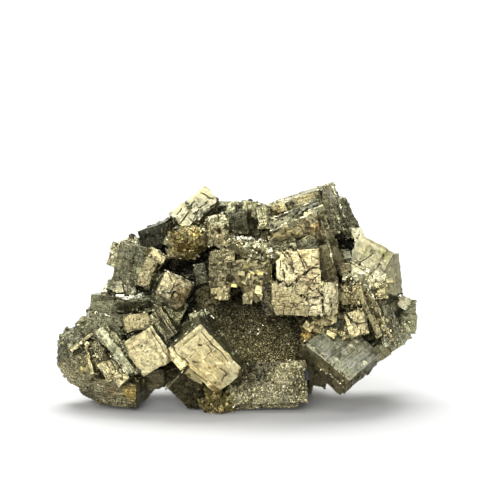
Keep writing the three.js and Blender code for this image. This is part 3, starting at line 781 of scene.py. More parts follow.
in_front = (face_normal @ np.array([0.0, -1.0, 0.0]) > 0.15) & (face_middle[:, 1] < 8)
on_a_side = (np.abs(face_normal[:, 0]) > 0.6) & (face_middle[:, 1] < 5)
spacing_of = np.where(in_front, FINE, np.where((face_normal[:, 2] > 0.5) | on_a_side, MIDDLING, COARSE))


def clear_way(start, number):
    """How far one can go from a place, straight out from a face, before the solid is met again."""
    far = rock_tree.ray_cast(Vector(start), Vector(face_normal[number]))[3]
    return math.inf if far is None else far


def crack_beside(start, end, left, right):
    """Whether an edge is the lip of a crack: then the other lip is close, and the edge isn't worn."""
    middle = (start + end) / 2 - 0.12 * (face_normal[left] + face_normal[right])
    return any(clear_way(middle + 0.15 * face_normal[number], number) < 0.7 for number in (left, right))


def between_lips(number):
    """Whether a face is the inner wall of a crack: it looks at the other wall from close by."""
    just_out = face_middle[number] + 0.04 * face_normal[number]
    return clear_way(just_out, number) < 0.5 and face_area[number] < 40


crack_walls = {number for number in range(FACE_COUNT) if between_lips(number)}
surface_points = [tuple(p) for p in rock_points]
edge_points = {}
edge_bends_out = {}
for (one, other), sides in rock_edges.items():
    left, right = face_of[sides[0]], face_of[sides[1]]
    if left == right:
        continue
    start, run = rock_points[one], rock_points[other] - rock_points[one]
    parts = max(1, int(round(np.linalg.norm(run) / min(spacing_of[left], spacing_of[right]))))
    row = [one]
    for step in range(1, parts):
        surface_points.append(tuple(start + run * step / parts))
        row.append(len(surface_points) - 1)
    edge_points[(one, other)] = row + [other]
    far = [c for c in rock_triangles[sides[1]] if c not in (one, other)][0]
    bends_out = (rock_points[far] - start) @ face_normal[left] < -1e-3
    edge_bends_out[(one, other)] = bends_out and not crack_beside(start, rock_points[other], left, right)
print(len(edge_points), "edges between faces,", len(surface_points), "points")
print(len(crack_walls), "crack walls")

# %% Tests in the plane of a face
SURE_AREA = 1e-4           # square mm: a triangle this large is either clearly inside or clearly outside
NEAREST = 0.045            # mm between points of the rows


def inside_outline(flat, starts, ends):
    """Whether points lie inside an outline, holes and all, by counting crossings."""
    inside = np.zeros(len(flat), bool)
    for (x1, y1), (x2, y2) in zip(starts, ends):
        if y1 == y2:
            continue
        crosses = (flat[:, 1] < y1) != (flat[:, 1] < y2)
        inside ^= crosses & (flat[:, 0] < x1 + (flat[:, 1] - y1) * (x2 - x1) / (y2 - y1))
    return inside


def inside_shapes(found, edges, shapes, edge_sources, starts, ends):
    """Which triangles lie inside an outline: large ones by their middles, thin ones by what they touch."""
    outline = {tuple(sorted(edge)) for edge, sources in zip(edges, edge_sources) if sources}
    sides_of = [[tuple(sorted((shape[k], shape[k - 1]))) for k in range(3)] for shape in shapes]
    beside = {}
    for number, sides in enumerate(sides_of):
        for side in sides:
            beside.setdefault(side, []).append(number)
    corner = found[np.array(shapes)]
    run, rise = corner[:, 1] - corner[:, 0], corner[:, 2] - corner[:, 0]
    area = np.abs(run[:, 0] * rise[:, 1] - run[:, 1] * rise[:, 0]) / 2
    keep = inside_outline(corner.mean(1), starts, ends) & (area > min(SURE_AREA, 0.5 * area.max()))
    waiting = np.flatnonzero(keep).tolist()
    while waiting:
        for side in sides_of[waiting.pop()]:
            for other in beside[side] if side not in outline else ():
                if not keep[other]:
                    keep[other] = True
                    waiting.append(other)
    return keep


def distance_to(flat, starts, ends):
    """The distance of points to the nearest of some straight pieces."""
    nearest = np.full(len(flat), 1e3)
    for start, end in zip(starts, ends):
        run = end - start
        share = np.clip(((flat - start) @ run) / max(run @ run, 1e-12), 0, 1)
        nearest = np.minimum(nearest, np.linalg.norm(flat - start - share[:, None] * run, axis=1))
    return nearest


def squares(flat, size):
    """The small square that each point is in."""
    return list(map(tuple, np.floor(flat / size).astype(int)))


def thin_out(flat):
    """Keeps points that stand clear of those already taken, one to a small square."""
    taken = {}
    for number, square in enumerate(squares(flat, NEAREST)):
        taken.setdefault(square, number)
    return np.array(list(taken.values()), int)


corner_points = np.array([[0.0, 0.0], [1.0, 0.0], [1.0, 1.0], [0.0, 1.0]])
print("the middle of a square is inside:", inside_outline(np.array([[0.5, 0.5]]), corner_points,
                                                          np.roll(corner_points, -1, axis=0))[0])

# %% [markdown]
# ## The relief of a face
# The relief is how far each point sinks below the plane that the crystal would have had. Plates and cracks
# come from the tree of cuts. Edges that stick out are worn and chipped, so they sink most. Broken and rusty
# places have no plates and are rough all over. Nothing rises above the plane, so the specimen keeps its
# size. The tint is made here too: pits, cracks and the seams between faces get painted shade, and ridges a
# painted highlight.

# %% Relief
# painted highlight along the ridges: how much brighter than the rest a ridge of each finish is painted; other
# finishes have a little of it
PAINTED_RIDGE_HIGHLIGHT = {"dark olive": 1.3, "dark face": 1.6, "brown": 1.0, "olive": 0.9, "striped": 0.8,
             "dark grainy": 1.8}
LITTLE_PAINTED_RIDGE_HIGHLIGHT = 0.4
RING_PERIOD = 1.9          # mm from one wavy growth line to the next


def grooves_at(flat, number):
    """Growth stripes from 0 to 1: long one way in the face, about a millimetre apart the other way."""
    stretched = np.column_stack([flat[:, 0] * 0.07, flat[:, 1] * 0.95, np.full(len(flat), number * 3.7)])
    return np.clip(0.5 + 1.2 * noise(stretched, 1.0, 20), 0, 1)


def rings_at(spots, flat):
    """Wavy growth lines from 0 to 1, round a point off the middle of the face."""
    off = flat - (flat.min(0) + flat.max(0)) / 2 - (flat.max(0) - flat.min(0)) * [-0.12, 0.16]
    reach = (np.abs(off) ** 3).sum(1) ** (1 / 3) + 1.1 * noise(spots, 3.5, 22)
    wave = 0.5 + 0.5 * np.sin(2 * np.pi * reach / RING_PERIOD + noise(spots, 1.5, 23))
    return wave * np.clip(reach / 3 - 0.5, 0, 1)


def relief(number, spots, flat, sunk, tree, to_ridge, to_seam):
    """Depth in mm, and the tint, at points of one face."""
    name = finish_of[number]
    finish = FINISHES[name]
    colour = np.array(finish["colour"]) * shade_of[number]
    # the walls inside a crack are painted dark: painted shade
    if number in crack_walls:
        return np.zeros(len(spots)), np.tile(colour * 0.25, (len(spots), 1))
    rough, stripe, mottle = finish["rough"], finish["stripe"], finish["grain"]
    if tree is None:
        coarse = 0.34 if name in CRUMBLY else 0.08 if name in SMOOTH else 0.2
        depth = coarse * (0.9 + noise(spots, 2.6, 3))
        depth += (0.6 * coarse + rough) * (0.8 + noise(spots, 1.1, 4)) * 0.6 + rough * noise(spots, 0.5, 5)
        shade = noise(spots, 2.2, 6)
    else:
        depth, shade = plate_depths(tree, flat)
        fine = noise(spots, 1.0, 7) + 0.8 * noise(spots, 0.45, 8) + 0.4 * noise(spots, 3.0, 9)
        depth = depth + rough * (1.3 + fine)
    grooves = grooves_at(flat, number)
    rings = rings_at(spots, flat) if name == "wavy gold" else np.zeros(len(flat))
    wear = (0.04 + 0.18 * np.maximum(0, noise(spots, 1.5, 11) + 0.1)) * band(to_ridge, 0.45)
    chips = 0.9 * np.maximum(0, noise(spots, 2.8, 12) - 0.35) * band(to_ridge, 0.9)
    pits = np.clip(noise(spots, 0.8, 24) + 0.3 * noise(spots, 4.0, 25) - 0.42, 0, 1)
    pits *= min(1.2, max(0.1, 0.15 + 1.6 * mottle))
    depth = depth + 0.2 * stripe * grooves + 0.06 * rings
    depth = np.maximum(depth + wear + chips + 0.6 * pits, 0) + sunk

    # light and dark follow the relief: plates differ, grains sparkle, grooves are darker, and pits, cracks
    # and seams are painted shade
    light = 1 + 0.13 * shade + 0.18 * noise(spots, 6.0, 13) + (0.09 + 0.38 * mottle) * noise(spots, 1.1, 14)
    light += (0.05 + 0.28 * mottle) * noise(spots, 0.5, 18)
    # painted shade in the pits
    light *= 1 - 1.3 * pits
    light *= 1 - 0.4 * stripe * (grooves - 0.4) - 0.6 * (rings - 0.25) * (rings > 0)
    # painted shade along the seams between faces and in the cracks
    light *= 1 - 0.4 * band(to_seam, 0.4) - 0.7 * np.clip(sunk * 3, 0, 1)
    # painted highlight along the ridges, where edges catch the light
    ridge_highlight = np.clip(noise(spots, 1.3, 21) + 0.55, 0, 1.3) * band(to_ridge, 0.2)
    light *= 1 + PAINTED_RIDGE_HIGHLIGHT.get(name, LITTLE_PAINTED_RIDGE_HIGHLIGHT) * ridge_highlight
    light = np.clip(light, 0.08, 2.6)
    tint = no_brighter(colour * light[:, None], 0.9)
    warm = np.clip(noise(spots, 7.0, 15) + 0.5 * noise(spots, 2.0, 16), -1, 1)[:, None]
    tint = tint * (1 + warm * np.array([0.04, 0.0, -0.10]))
    return depth, with_stains_and_painted_light(tint, spots, np.minimum(light, 1.6))


def no_brighter(colours, most):
    """Colours brought down to a brightest value, with their hue kept."""
    return colours * np.minimum(1, most / colours.max(1))[:, None]


print(len(PAINTED_RIDGE_HIGHLIGHT), "finishes have bright ridges")

# %% [markdown]
# ## The finer surface
# Each face is laid flat, filled with points and triangulated, and every point then sinks by its relief. A
# point on an edge belongs to two or three faces that pull it different ways. A small system of equations
# per point finds the place that suits all of them, so neighbours stay joined.

# %% Points inside a face
# stripes follow the longer side of a face, but on these crystals the shorter one
CROSS_STRIPED = {"striped cube"}
PLATED_AREA = 1.5          # square mm: a smaller face isn't cut into plates


def outline_of(mine):
    """The outline of a face as pieces between surface points, and which pieces are ridges."""
    own = set(mine)
    starts, ends, ridge = [], [], []
    for triangle in mine:
        a, b, c = (int(v) for v in rock_triangles[triangle])
        for one, other in ((a, b), (b, c), (c, a)):
            key = (one, other) if one < other else (other, one)
            if key in edge_points and any(t not in own for t in rock_edges[key]):
                row = edge_points[key] if one < other else edge_points[key][::-1]
                starts += row[:-1]
                ends += row[1:]
                ridge += [edge_bends_out[key]] * (len(row) - 1)
    return starts, ends, np.array(ridge)


def face_directions(number):
    """Two directions in the plane of a face, along its crystal, and whether it lies square on the crystal."""
    across = face_normal[number]
    axes = directions_of[crystal_of[number]]
    alike = np.abs(axes @ across)
    first = axes[(int(alike.argmax()) + 1) % 3]
    first = first - (first @ across) * across
    first /= np.linalg.norm(first)
    return first, np.cross(across, first), alike.max() > 0.999


def points_inside(number, centre, first, second, rim_flat, outline, straight):
    """Points inside a face, how far cracks sink them, and the tree of cuts."""
    chance = np.random.default_rng(number + 11)
    low, high = rim_flat.min(0), rim_flat.max(0)
    spacing = spacing_of[number]
    tree, cuts, cuts_sunk = None, np.zeros((0, 2)), np.zeros(0)
    if straight and face_area[number] > PLATED_AREA:
        tree = cut_into_plates(low - 0.01, high + 0.01, FINISHES[finish_of[number]], chance)
        cuts, cuts_sunk = cut_points(tree, spacing * 0.85)
    drawn, drawn_sunk = crack_rows(number, centre, first, second, chance)
    counts = [max(1, int(length / gap)) for length, gap in zip(high - low, (spacing, spacing * 0.87))]
    grid = np.stack(np.meshgrid(*(np.arange(count) + 0.5 for count in counts)), -1).reshape(-1, 2)
    grid[:, 0] += 0.5 * (grid[:, 1].astype(int) % 2) - 0.25
    grid = low + grid / counts * (high - low) + chance.uniform(-0.2, 0.2, grid.shape) * spacing

    inner = np.vstack([drawn, cuts, grid])
    sunk = np.concatenate([drawn_sunk, cuts_sunk, np.zeros(len(grid))])
    in_row = np.arange(len(inner)) < len(drawn) + len(cuts)
    keep = inside_outline(inner, *outline)
    inner, sunk, in_row = inner[keep], sunk[keep], in_row[keep]
    keep = distance_to(inner, *outline) > np.where(in_row, 0.16, 0.45) * spacing
    inner, sunk, in_row = inner[keep], sunk[keep], in_row[keep]
    rows, loose, cell = inner[in_row], inner[~in_row], spacing * 0.42
    rows_kept = thin_out(rows)
    steps = [(dx, dy) for dx in (-1, 0, 1) for dy in (-1, 0, 1)]
    near_rows = {(x + dx, y + dy) for x, y in squares(rows[rows_kept], cell) for dx, dy in steps}
    loose_kept = [k for k, square in enumerate(squares(loose, cell)) if square not in near_rows]
    inner = np.vstack([rows[rows_kept], loose[loose_kept]])
    return inner, np.concatenate([sunk[in_row][rows_kept], sunk[~in_row][loose_kept]]), tree


def distance_or_far(flat, starts, ends, chosen):
    """The distance in mm to the chosen pieces of the outline, or 9 where there are none."""
    if not chosen.any():
        return np.full(len(flat), 9.0)
    return distance_to(flat, starts[chosen], ends[chosen])


# %% Rebuild the surface face by face
def rebuild_surface():
    """Points and triangles; tint, place and manner by corner; face, seam and ridge distance by triangle."""
    triangle_lists = [[] for _ in range(FACE_COUNT)]
    for triangle, number in enumerate(face_of):
        triangle_lists[number].append(triangle)
    pulls = np.zeros((len(surface_points), 3, 3))
    goals = np.zeros((len(surface_points), 3))
    inner_points, made, tints, places, manners, owners, near_seam, near_ridge = ([] for _ in range(8))
    crossings = 0
    for number, mine in enumerate(triangle_lists):
        starts, ends, ridge = outline_of(mine)
        if len(starts) < 3:
            continue
        across, finish = face_normal[number], FINISHES[finish_of[number]]
        first, second, straight = face_directions(number)
        rim = sorted(set(starts) | set(ends))
        place_of = {point: k for k, point in enumerate(rim)}
        rim_spots = np.array([surface_points[point] for point in rim])
        centre = rim_spots.mean(0)
        rim_flat = np.stack([(rim_spots - centre) @ first, (rim_spots - centre) @ second], 1)
        along_first = np.ptp(rim_flat[:, 0]) > np.ptp(rim_flat[:, 1])
        if along_first == (spot_of[number] in CROSS_STRIPED):
            first, second = second, -first
            rim_flat = np.stack([rim_flat[:, 1], -rim_flat[:, 0]], 1)
        lines = [(place_of[s], place_of[e]) for s, e in zip(starts, ends)]
        outline = tuple(rim_flat[list(side)] for side in zip(*lines))
        inner, inner_sunk, tree = points_inside(number, centre, first, second, rim_flat, outline, straight)
        flat = np.vstack([rim_flat, inner])
        sunk = np.concatenate([np.zeros(len(rim)), inner_sunk])
        corners = list(map(Vector, flat))
        found, edges, shapes, sources, edge_sources, _ = delaunay_2d_cdt(corners, lines, [], 0, 1e-6)
        found = np.array([tuple(v) for v in found])
        keep = inside_shapes(found, edges, shapes, edge_sources, *outline)
        spots = centre + flat[:, :1] * first + flat[:, 1:] * second
        to_ridge = distance_or_far(flat, *outline, ridge)
        to_seam = distance_or_far(flat, *outline, ~ridge)
        depth, tint = relief(number, spots, flat, sunk, tree, to_ridge, to_seam)
        np.add.at(pulls, rim, np.outer(across, across))
        np.add.at(goals, rim, -depth[:len(rim), None] * across)
        base = len(surface_points) + len(inner_points)
        inner_points.extend(map(tuple, spots[len(rim):] - depth[len(rim):, None] * across))
        index_of = np.concatenate([np.array(rim), base + np.arange(len(inner))])
        lookup = []
        for k, origin in enumerate(sources):
            crossings += not origin
            lookup.append(min(origin) if origin else int(np.argmin(np.linalg.norm(flat - found[k], axis=1))))
        manner = np.tile([finish["grain"], finish["stripe"] if straight else 0.0, finish["gloss"]], (3, 1))
        for shape, wanted in zip(shapes, keep):
            local = [lookup[k] for k in shape]
            if not wanted or len(set(local)) < 3:
                continue
            (x1, y1), (x2, y2), (x3, y3) = flat[local]
            if (x2 - x1) * (y3 - y1) - (x3 - x1) * (y2 - y1) < 0:
                local.reverse()
            made.append(index_of[local])
            tints.append(tint[local])
            places.append(np.column_stack([flat[local], np.full(3, (crystal_of[number] * 7.31) % 97)]))
            manners.append(manner)
            owners.append(number)
            near_seam.append(to_seam[local].mean())
            near_ridge.append(to_ridge[local].mean())
    moves = np.linalg.solve(pulls + 0.06 * np.eye(3), goals[:, :, None])[:, :, 0]
    points = np.vstack([np.array(surface_points) + moves, np.array(inner_points)])

    # two triangles on the same three points are a flap without thickness: both go
    made = np.array(made)
    _, same, times = np.unique(np.sort(made, axis=1), axis=0, return_inverse=True, return_counts=True)
    single = times[same.reshape(-1)] == 1
    print(crossings, "crossings,", int((~single).sum()), "triangles of flaps left out")
    by_corner = [np.vstack(values)[np.repeat(single, 3)] for values in (tints, places, manners)]
    by_triangle = [np.array(values)[single] for values in (owners, near_seam, near_ridge)]
    return points, made[single], *by_corner, *by_triangle


points, triangles, tints, places, manners, owner_faces, near_seam, near_ridge = rebuild_surface()
print(len(points), "points and", len(triangles), "triangles;", open_edges(edge_owners(triangles)),
      "edges without two sides")

# %% [markdown]
# ## The detailed mesh
# The new points and triangles become one Blender mesh. Three things go along with each corner of each
# triangle, for the material to use: the tint, the place on the face in the crystal's own directions, and
# the manner (how grainy, how striped, how glossy). Corners, not points, because two faces of one edge can
# have different finishes.

# %% Make the mesh
def mesh_of(name, points, triangles, tints, places, manners, keep_sharp=20):
    """A mesh object from points in mm, with a tint, a place and a manner for every corner."""
    data = bpy.data.meshes.new(name)
    data.from_pydata((points * MM).tolist(), [], triangles.tolist())
    opaque = np.hstack([tints, np.ones((len(tints), 1))])
    for key, kind, part, values in (("tint", "FLOAT_COLOR", "color", opaque),
                                    ("place", "FLOAT_VECTOR", "vector", places),
                                    ("manner", "FLOAT_VECTOR", "vector", manners)):
        made = data.attributes.new(key, kind, "CORNER")
        made.data.foreach_set(part, np.ascontiguousarray(values, np.float32).ravel())
    data.shade_smooth()
    data.set_sharp_from_angle(angle=math.radians(keep_sharp))
    piece = bpy.data.objects.new(name, data)
    bpy.context.scene.collection.objects.link(piece)
    return piece


box_low, box_high = (np.array(corner) / MM for corner in solid_box)
points = np.clip(points, box_low, box_high)
rock = mesh_of("pyrite_crystals", points, triangles, tints, places, manners, keep_sharp=32)
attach(rock, "root")
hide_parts("pyrite_cluster")
print(len(rock.data.polygons), "triangles in the crystals")

# %% [markdown]
# ## The pyrite material
# Pyrite is an opaque, pale brass-yellow metal, and its shine is not even: clean cleavage is bright, tarnish
# is dull. The shader is metal with a little roughness. The tint comes from the mesh. Fine relief comes in
# three sizes as bump: grains smaller than a pixel, small dents, and the growth stripes, which run along the
# crystal's own direction. Short nicks, also along the crystal, break up the smooth faces.

# %% Pyrite material
LIGHTEST = (0.95, 0.93, 0.84)          # no metal mirrors a larger share of red, green and blue light


def pyrite_material(name):
    """Tarnished pyrite: metal whose tint, direction and manner come from the mesh."""
    material = bpy.data.materials.new(name)
    material.use_nodes = True
    nodes, links = material.node_tree.nodes, material.node_tree.links
    nodes.clear()

    def node(kind, **settings):
        made = nodes.new(kind)
        for key, value in settings.items():
            if key in made.inputs:
                made.inputs[key].default_value = value
            else:
                setattr(made, key, value)
        return made

    def maths(operation, *values):
        made = node("ShaderNodeMath", operation=operation)
        for socket, value in zip(made.inputs, values):
            if isinstance(value, (int, float)):
                socket.default_value = value
            else:
                links.new(value, socket)
        return made.outputs[0]

    def vector_maths(operation, first, second):
        made = node("ShaderNodeVectorMath", operation=operation)
        links.new(first, made.inputs[0])
        made.inputs[1].default_value = second
        return made.outputs[0]

    def off_middle(value):
        return maths("SUBTRACT", value, 0.5)

    def cloud(at, scale, detail, rough=0.6):
        made = node("ShaderNodeTexNoise", Scale=scale, Detail=detail, Roughness=rough)
        links.new(at, made.inputs["Vector"])
        return made.outputs["Fac"]

    def dashes(along, across, seed):
        """Short marks from 0 to 1, longer one way than the other."""
        shifted = vector_maths("ADD", vector_maths("MULTIPLY", place, (along, across, 1.0)), (0, 0, seed))
        peaks = maths("MAXIMUM", maths("MULTIPLY_ADD", cloud(shifted, 1.0, 2.0), 9.0, -5.3), 0.0)
        return maths("SMOOTH_MIN", peaks, 1.0, 0.2)

    shader = node("ShaderNodeBsdfPrincipled", Metallic=0.9)
    links.new(shader.outputs[0], node("ShaderNodeOutputMaterial").inputs[0])
    tint = node("ShaderNodeAttribute", attribute_name="tint").outputs["Color"]
    place = node("ShaderNodeAttribute", attribute_name="place").outputs["Vector"]
    manner = node("ShaderNodeSeparateXYZ")
    links.new(node("ShaderNodeAttribute", attribute_name="manner").outputs["Vector"], manner.inputs[0])
    grain, stripe, gloss = manner.outputs
    where = node("ShaderNodeTexCoord").outputs["Object"]

    fine = cloud(where, 4200, 3)
    dents = cloud(where, 1300, 4)
    patches = cloud(where, 320, 3)
    cells = node("ShaderNodeTexVoronoi", Scale=2600.0)
    links.new(where, cells.inputs["Vector"])
    lines = cloud(vector_maths("MULTIPLY", place, (0.12, 2.2, 1.0)), 1.0, 2.5, 0.7)
    nicks = maths("MAXIMUM", dashes(0.8, 5.5, 3.3), dashes(5.5, 0.8, 9.7))
    nicks = maths("MULTIPLY", nicks, maths("SUBTRACT", 1.0, maths("MULTIPLY", stripe, 0.8)))

    height = maths("MULTIPLY", maths("MULTIPLY", cells.outputs["Distance"], grain), 0.3)
    height = maths("SUBTRACT", height, maths("MULTIPLY", nicks, 0.6))
    height = maths("ADD", height, maths("MULTIPLY", dents, maths("MULTIPLY_ADD", grain, 0.9, 0.5)))
    height = maths("ADD", height, maths("MULTIPLY", lines, maths("MULTIPLY", stripe, 1.6)))
    bump = node("ShaderNodeBump", Strength=0.8, Distance=0.0004)
    links.new(height, bump.inputs["Height"])
    links.new(bump.outputs[0], shader.inputs["Normal"])

    light = maths("MULTIPLY_ADD", patches, 0.9, 0.56)
    for cloudy, plain, with_grain in ((fine, 0.65, 2.0), (dents, 0.55, 2.2)):
        swing = maths("MULTIPLY", off_middle(cloudy), maths("MULTIPLY_ADD", grain, with_grain, plain))
        light = maths("MULTIPLY", light, maths("ADD", swing, 1.0))
    striping = maths("MULTIPLY_ADD", off_middle(lines), maths("MULTIPLY", stripe, 3.2), 1.0)
    light = maths("MAXIMUM", maths("MULTIPLY", light, striping), 0.1)
    light = maths("MULTIPLY", light, maths("MULTIPLY_ADD", nicks, -0.45, 1.0))
    scaled = node("ShaderNodeVectorMath", operation="SCALE")
    links.new(tint, scaled.inputs[0])
    links.new(light, scaled.inputs["Scale"])
    links.new(vector_maths("MINIMUM", scaled.outputs[0], LIGHTEST), shader.inputs["Base Color"])

    dull = maths("SUBTRACT", 0.74, maths("MULTIPLY", gloss, 0.75))
    dull = maths("MULTIPLY_ADD", off_middle(patches), 0.35, dull)
    dull = maths("MULTIPLY_ADD", off_middle(dents), 0.25, dull)
    links.new(maths("MINIMUM", maths("MAXIMUM", dull, 0.16), 0.9), shader.inputs["Roughness"])
    return material


pyrite = pyrite_material("tarnished_pyrite")
rock.data.materials.append(pyrite)
print("material", pyrite.name, "with", len(pyrite.node_tree.nodes), "nodes")

# %% [markdown]
# ## Little crystals and chips
# Several things on the specimen are smaller than its faces: chips left where a face broke, crumbs caught in
# the seams between crystals, and the sugar of tiny crystals that coats the hollow. Each is a small box,
# sunk partly into what it grew on. Thousands of them are made at once with arrays and joined into a few
# meshes, which is quicker than an object for each, and leaves nothing but plain triangles.

# %% Make many little boxes
BOX_CORNERS = np.array([[x, y, z] for x in (-0.5, 0.5) for y in (-0.5, 0.5) for z in (-0.5, 0.5)])
BOX_TRIANGLES = np.array([[0, 1, 3], [0, 3, 2], [4, 6, 7], [4, 7, 5], [0, 4, 5], [0, 5, 1],
                          [2, 3, 7], [2, 7, 6], [0, 2, 6], [0, 6, 4], [1, 5, 7], [1, 7, 3]])


def random_turns(count, chance):
    """Rotation matrices that turn a box any way at all."""
    turn = chance.normal(size=(count, 4))
    w, x, y, z = (turn / np.linalg.norm(turn, axis=1)[:, None]).T
    rows = [[1 - 2 * (y * y + z * z), 2 * (x * y - w * z), 2 * (x * z + w * y)],
            [2 * (x * y + w * z), 1 - 2 * (x * x + z * z), 2 * (y * z - w * x)],
            [2 * (x * z - w * y), 2 * (y * z + w * x), 1 - 2 * (x * x + y * y)]]
    return np.array(rows).transpose(2, 0, 1)


def box_points(middles, turns, sizes, shapes=BOX_CORNERS):
    """The corners and triangles of many boxes; turns holds each box's three directions as rows."""
    corners = middles[:, None, :] + np.einsum("nij,njk->nik", shapes * sizes[:, None, :], turns)
    triangles = np.arange(len(middles))[:, None, None] * len(BOX_CORNERS) + BOX_TRIANGLES
    return np.clip(corners, box_low, box_high).reshape(-1, 3), triangles.reshape(-1, 3)


def for_box_corners(values):
    """A value for each box, repeated for every corner of its triangles."""
    return np.repeat(values, BOX_TRIANGLES.size, axis=0)


def little_boxes(name, middles, turns, sizes, tints, manner, chance, uneven=0.0):
    """One mesh of many boxes, with their corners moved a little by chance."""
    shapes = BOX_CORNERS * (1 + uneven * chance.uniform(-1, 1, (len(middles), len(BOX_CORNERS), 3)))
    corners, boxes = box_points(middles, turns, sizes, shapes)
    return mesh_of(name, corners, boxes, for_box_corners(tints), for_box_corners(middles),
                   for_box_corners(np.tile(manner, (len(middles), 1))))


def scatter(points, triangles, weight, count, chance):
    """Places spread over triangles, more where the weight is higher, with the triangle of each."""
    normal, area = normals_and_areas(points, triangles)
    share = area * weight
    chosen = chance.choice(len(triangles), count, p=share / share.sum())
    a, b = chance.random((2, count, 1))
    flip = (a + b) > 1
    a, b = np.where(flip, 1 - a, a), np.where(flip, 1 - b, b)
    one, two, three = points[triangles[chosen]].transpose(1, 0, 2)
    return one + a * (two - one) + b * (three - one), normal[chosen], chosen


def rock_colours(chosen, places):
    """The colours and lightness of the crystals under the chosen triangles, with each local stain or patch of
    painted shade near the places.
    """
    numbers = owner_faces[chosen]
    colours = np.array([FINISHES[finish_of[number]]["colour"] for number in numbers])
    colours = colours * np.array([shade_of[number] for number in numbers])[:, None]
    return with_stains_and_painted_light(colours, places, np.ones(len(chosen)))


def along_crystals(chosen, wobble):
    """Rotation matrices along the crystals under the chosen triangles, each set off by its wobble."""
    own = np.array([directions_of[crystal_of[number]] for number in owner_faces[chosen]])
    turned = np.linalg.qr(np.einsum("nij,njk->nik", own, wobble).transpose(0, 2, 1))[0].transpose(0, 2, 1)
    turned[np.linalg.det(turned) < 0, 2] *= -1
    return turned


def brick_sizes(long, thinnest, chance):
    """Sizes of boxes from their lengths: narrower one way, and thinner still the other."""
    wide = long * chance.uniform(0.5, 1.0, len(long))
    return np.stack([long, wide, long * chance.uniform(thinnest, 0.8, len(long))], 1)


face_finish = np.array([finish_of[number] for number in owner_faces])
turned_back = face_normal[owner_faces][:, 1]          # 1 straight to the back, -1 straight to the viewer
print(len(BOX_TRIANGLES), "triangles a box")

# %% Chips and crumbs on the crystals
# how many chips a finish carries for its area
CHIP_SHARE = {
    "bright crumbs": 2.2, "broken": 2.4, "rust": 2.6, "brown": 0.5, "olive": 0.25, "dark olive": 0.35,
    "brown gold": 0.25, "gold plates": 0.06, "wavy gold": 0.02, "striped": 0.12, "grainy": 0.3,
    "dark grainy": 0.2, "smooth grey": 0.12, "grey striped": 0.1, "ribbed": 0.1, "pale bar": 0.1,
    "black hollow": 0.4, "pale face": 0.08, "dark face": 0.1}
CHIPS = 11000


def chips_on_rock():
    """Chips along the crystal or tumbled, most of them in seams and on broken places."""
    chance = np.random.default_rng(5)
    weight = np.array([CHIP_SHARE[name] for name in face_finish])
    weight = weight + np.where(np.isin(face_finish, SMOOTH), 0.3, 1.6) * band(near_seam, 0.8)
    weight = weight * np.where(turned_back < 0.4, 1.0, 0.35)
    uneven = np.clip(0.8 + 0.9 * noise(points[triangles].mean(1), 4.0, 31), 0.05, 2)
    weight = weight * uneven * (1 - 0.8 * band(near_ridge, 0.7))
    spots, up, chosen = scatter(points, triangles, weight, CHIPS, chance)
    long = chance.uniform(0.35, 1.0, CHIPS) * np.where(chance.random(CHIPS) < 0.12, 1.7, 1.0)
    sizes = brick_sizes(long, 0.3, chance)
    tumbled = random_turns(CHIPS, chance)
    is_tumbled = chance.random(CHIPS) < 0.45
    wobble = np.eye(3) + chance.normal(0, 0.16, (CHIPS, 3, 3))
    wobble[:, [0, 1, 2], [0, 1, 2]] = 1
    turns = np.where(is_tumbled[:, None, None], tumbled, along_crystals(chosen, wobble))
    middles = spots - up * (sizes[:, 2:] * chance.uniform(0.1, 0.45, (CHIPS, 1)))
    colours = rock_colours(chosen, middles) * chance.uniform(0.3, 1.6, (CHIPS, 1))
    colours = no_brighter(colours * (1 + chance.uniform(-0.05, 0.05, (CHIPS, 3))), 0.75)
    return little_boxes("chips_and_crumbs", middles, turns, sizes, colours, (0.5, 0.1, 0.62), chance, 0.12)


chips = chips_on_rock()
chips.data.materials.append(pyrite)
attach(chips, "root")
print(CHIPS, "chips and crumbs")

# %% [markdown]
# ## Broken blocks
# The middle of the front is a heap of broken blocks, 1 to 2.5 mm long. They broke off along the cleavage
# and shifted, so each keeps roughly its crystal's direction and is turned a little its own way. They are
# placed by chance over the crystals named here, because no one could tell which block is which, only that
# they are crowded.

# %% Broken blocks
# name of the spot: how crowded its crystal is
BLOCKY = {
    "middle block": 1.0, "middle block left": 0.8, "middle lower cube 1": 1.0, "middle lower cube 2": 1.2,
    "wedge ledge": 0.5, "chip block 1": 0.6, "chip block 2": 0.5, "pitted block": 0.7,
    "debris": 1.0, "brown block": 0.4, "beige cap block": 0.5, "bright ledges": 0.8,
    "recess cube right": 0.5, "wall crumbs": 0.8, "pale layered block": 0.5, "foot rust high": 0.7,
    "long bar foot": 0.4, "dark chip block": 0.4}
BLOCKS = 420


def broken_blocks():
    """Blocks that lie along their crystal and are turned a little off it."""
    chance = np.random.default_rng(12)
    weight = np.array([BLOCKY.get(spot_of[number], 0.0) for number in owner_faces]) * (turned_back < -0.2)
    spots, up, chosen = scatter(points, triangles, weight, BLOCKS, chance)
    long = chance.uniform(0.9, 2.4, BLOCKS)
    sizes = brick_sizes(long, 0.4, chance)
    turns = along_crystals(chosen, np.eye(3) + chance.normal(0, 0.32, (BLOCKS, 3, 3)))
    middles = spots - up * long[:, None] * chance.uniform(0.12, 0.4, (BLOCKS, 1))
    colours = rock_colours(chosen, middles) * chance.choice([0.3, 0.6, 0.9, 1.25, 1.7], (BLOCKS, 1))
    colours = no_brighter(colours, 0.5)
    return little_boxes("broken_blocks", middles, turns, sizes, colours, (0.6, 0.5, 0.5), chance, 0.24)


blocks = broken_blocks()
blocks.data.materials.append(pyrite)
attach(blocks, "root")
print(BLOCKS, "broken blocks")

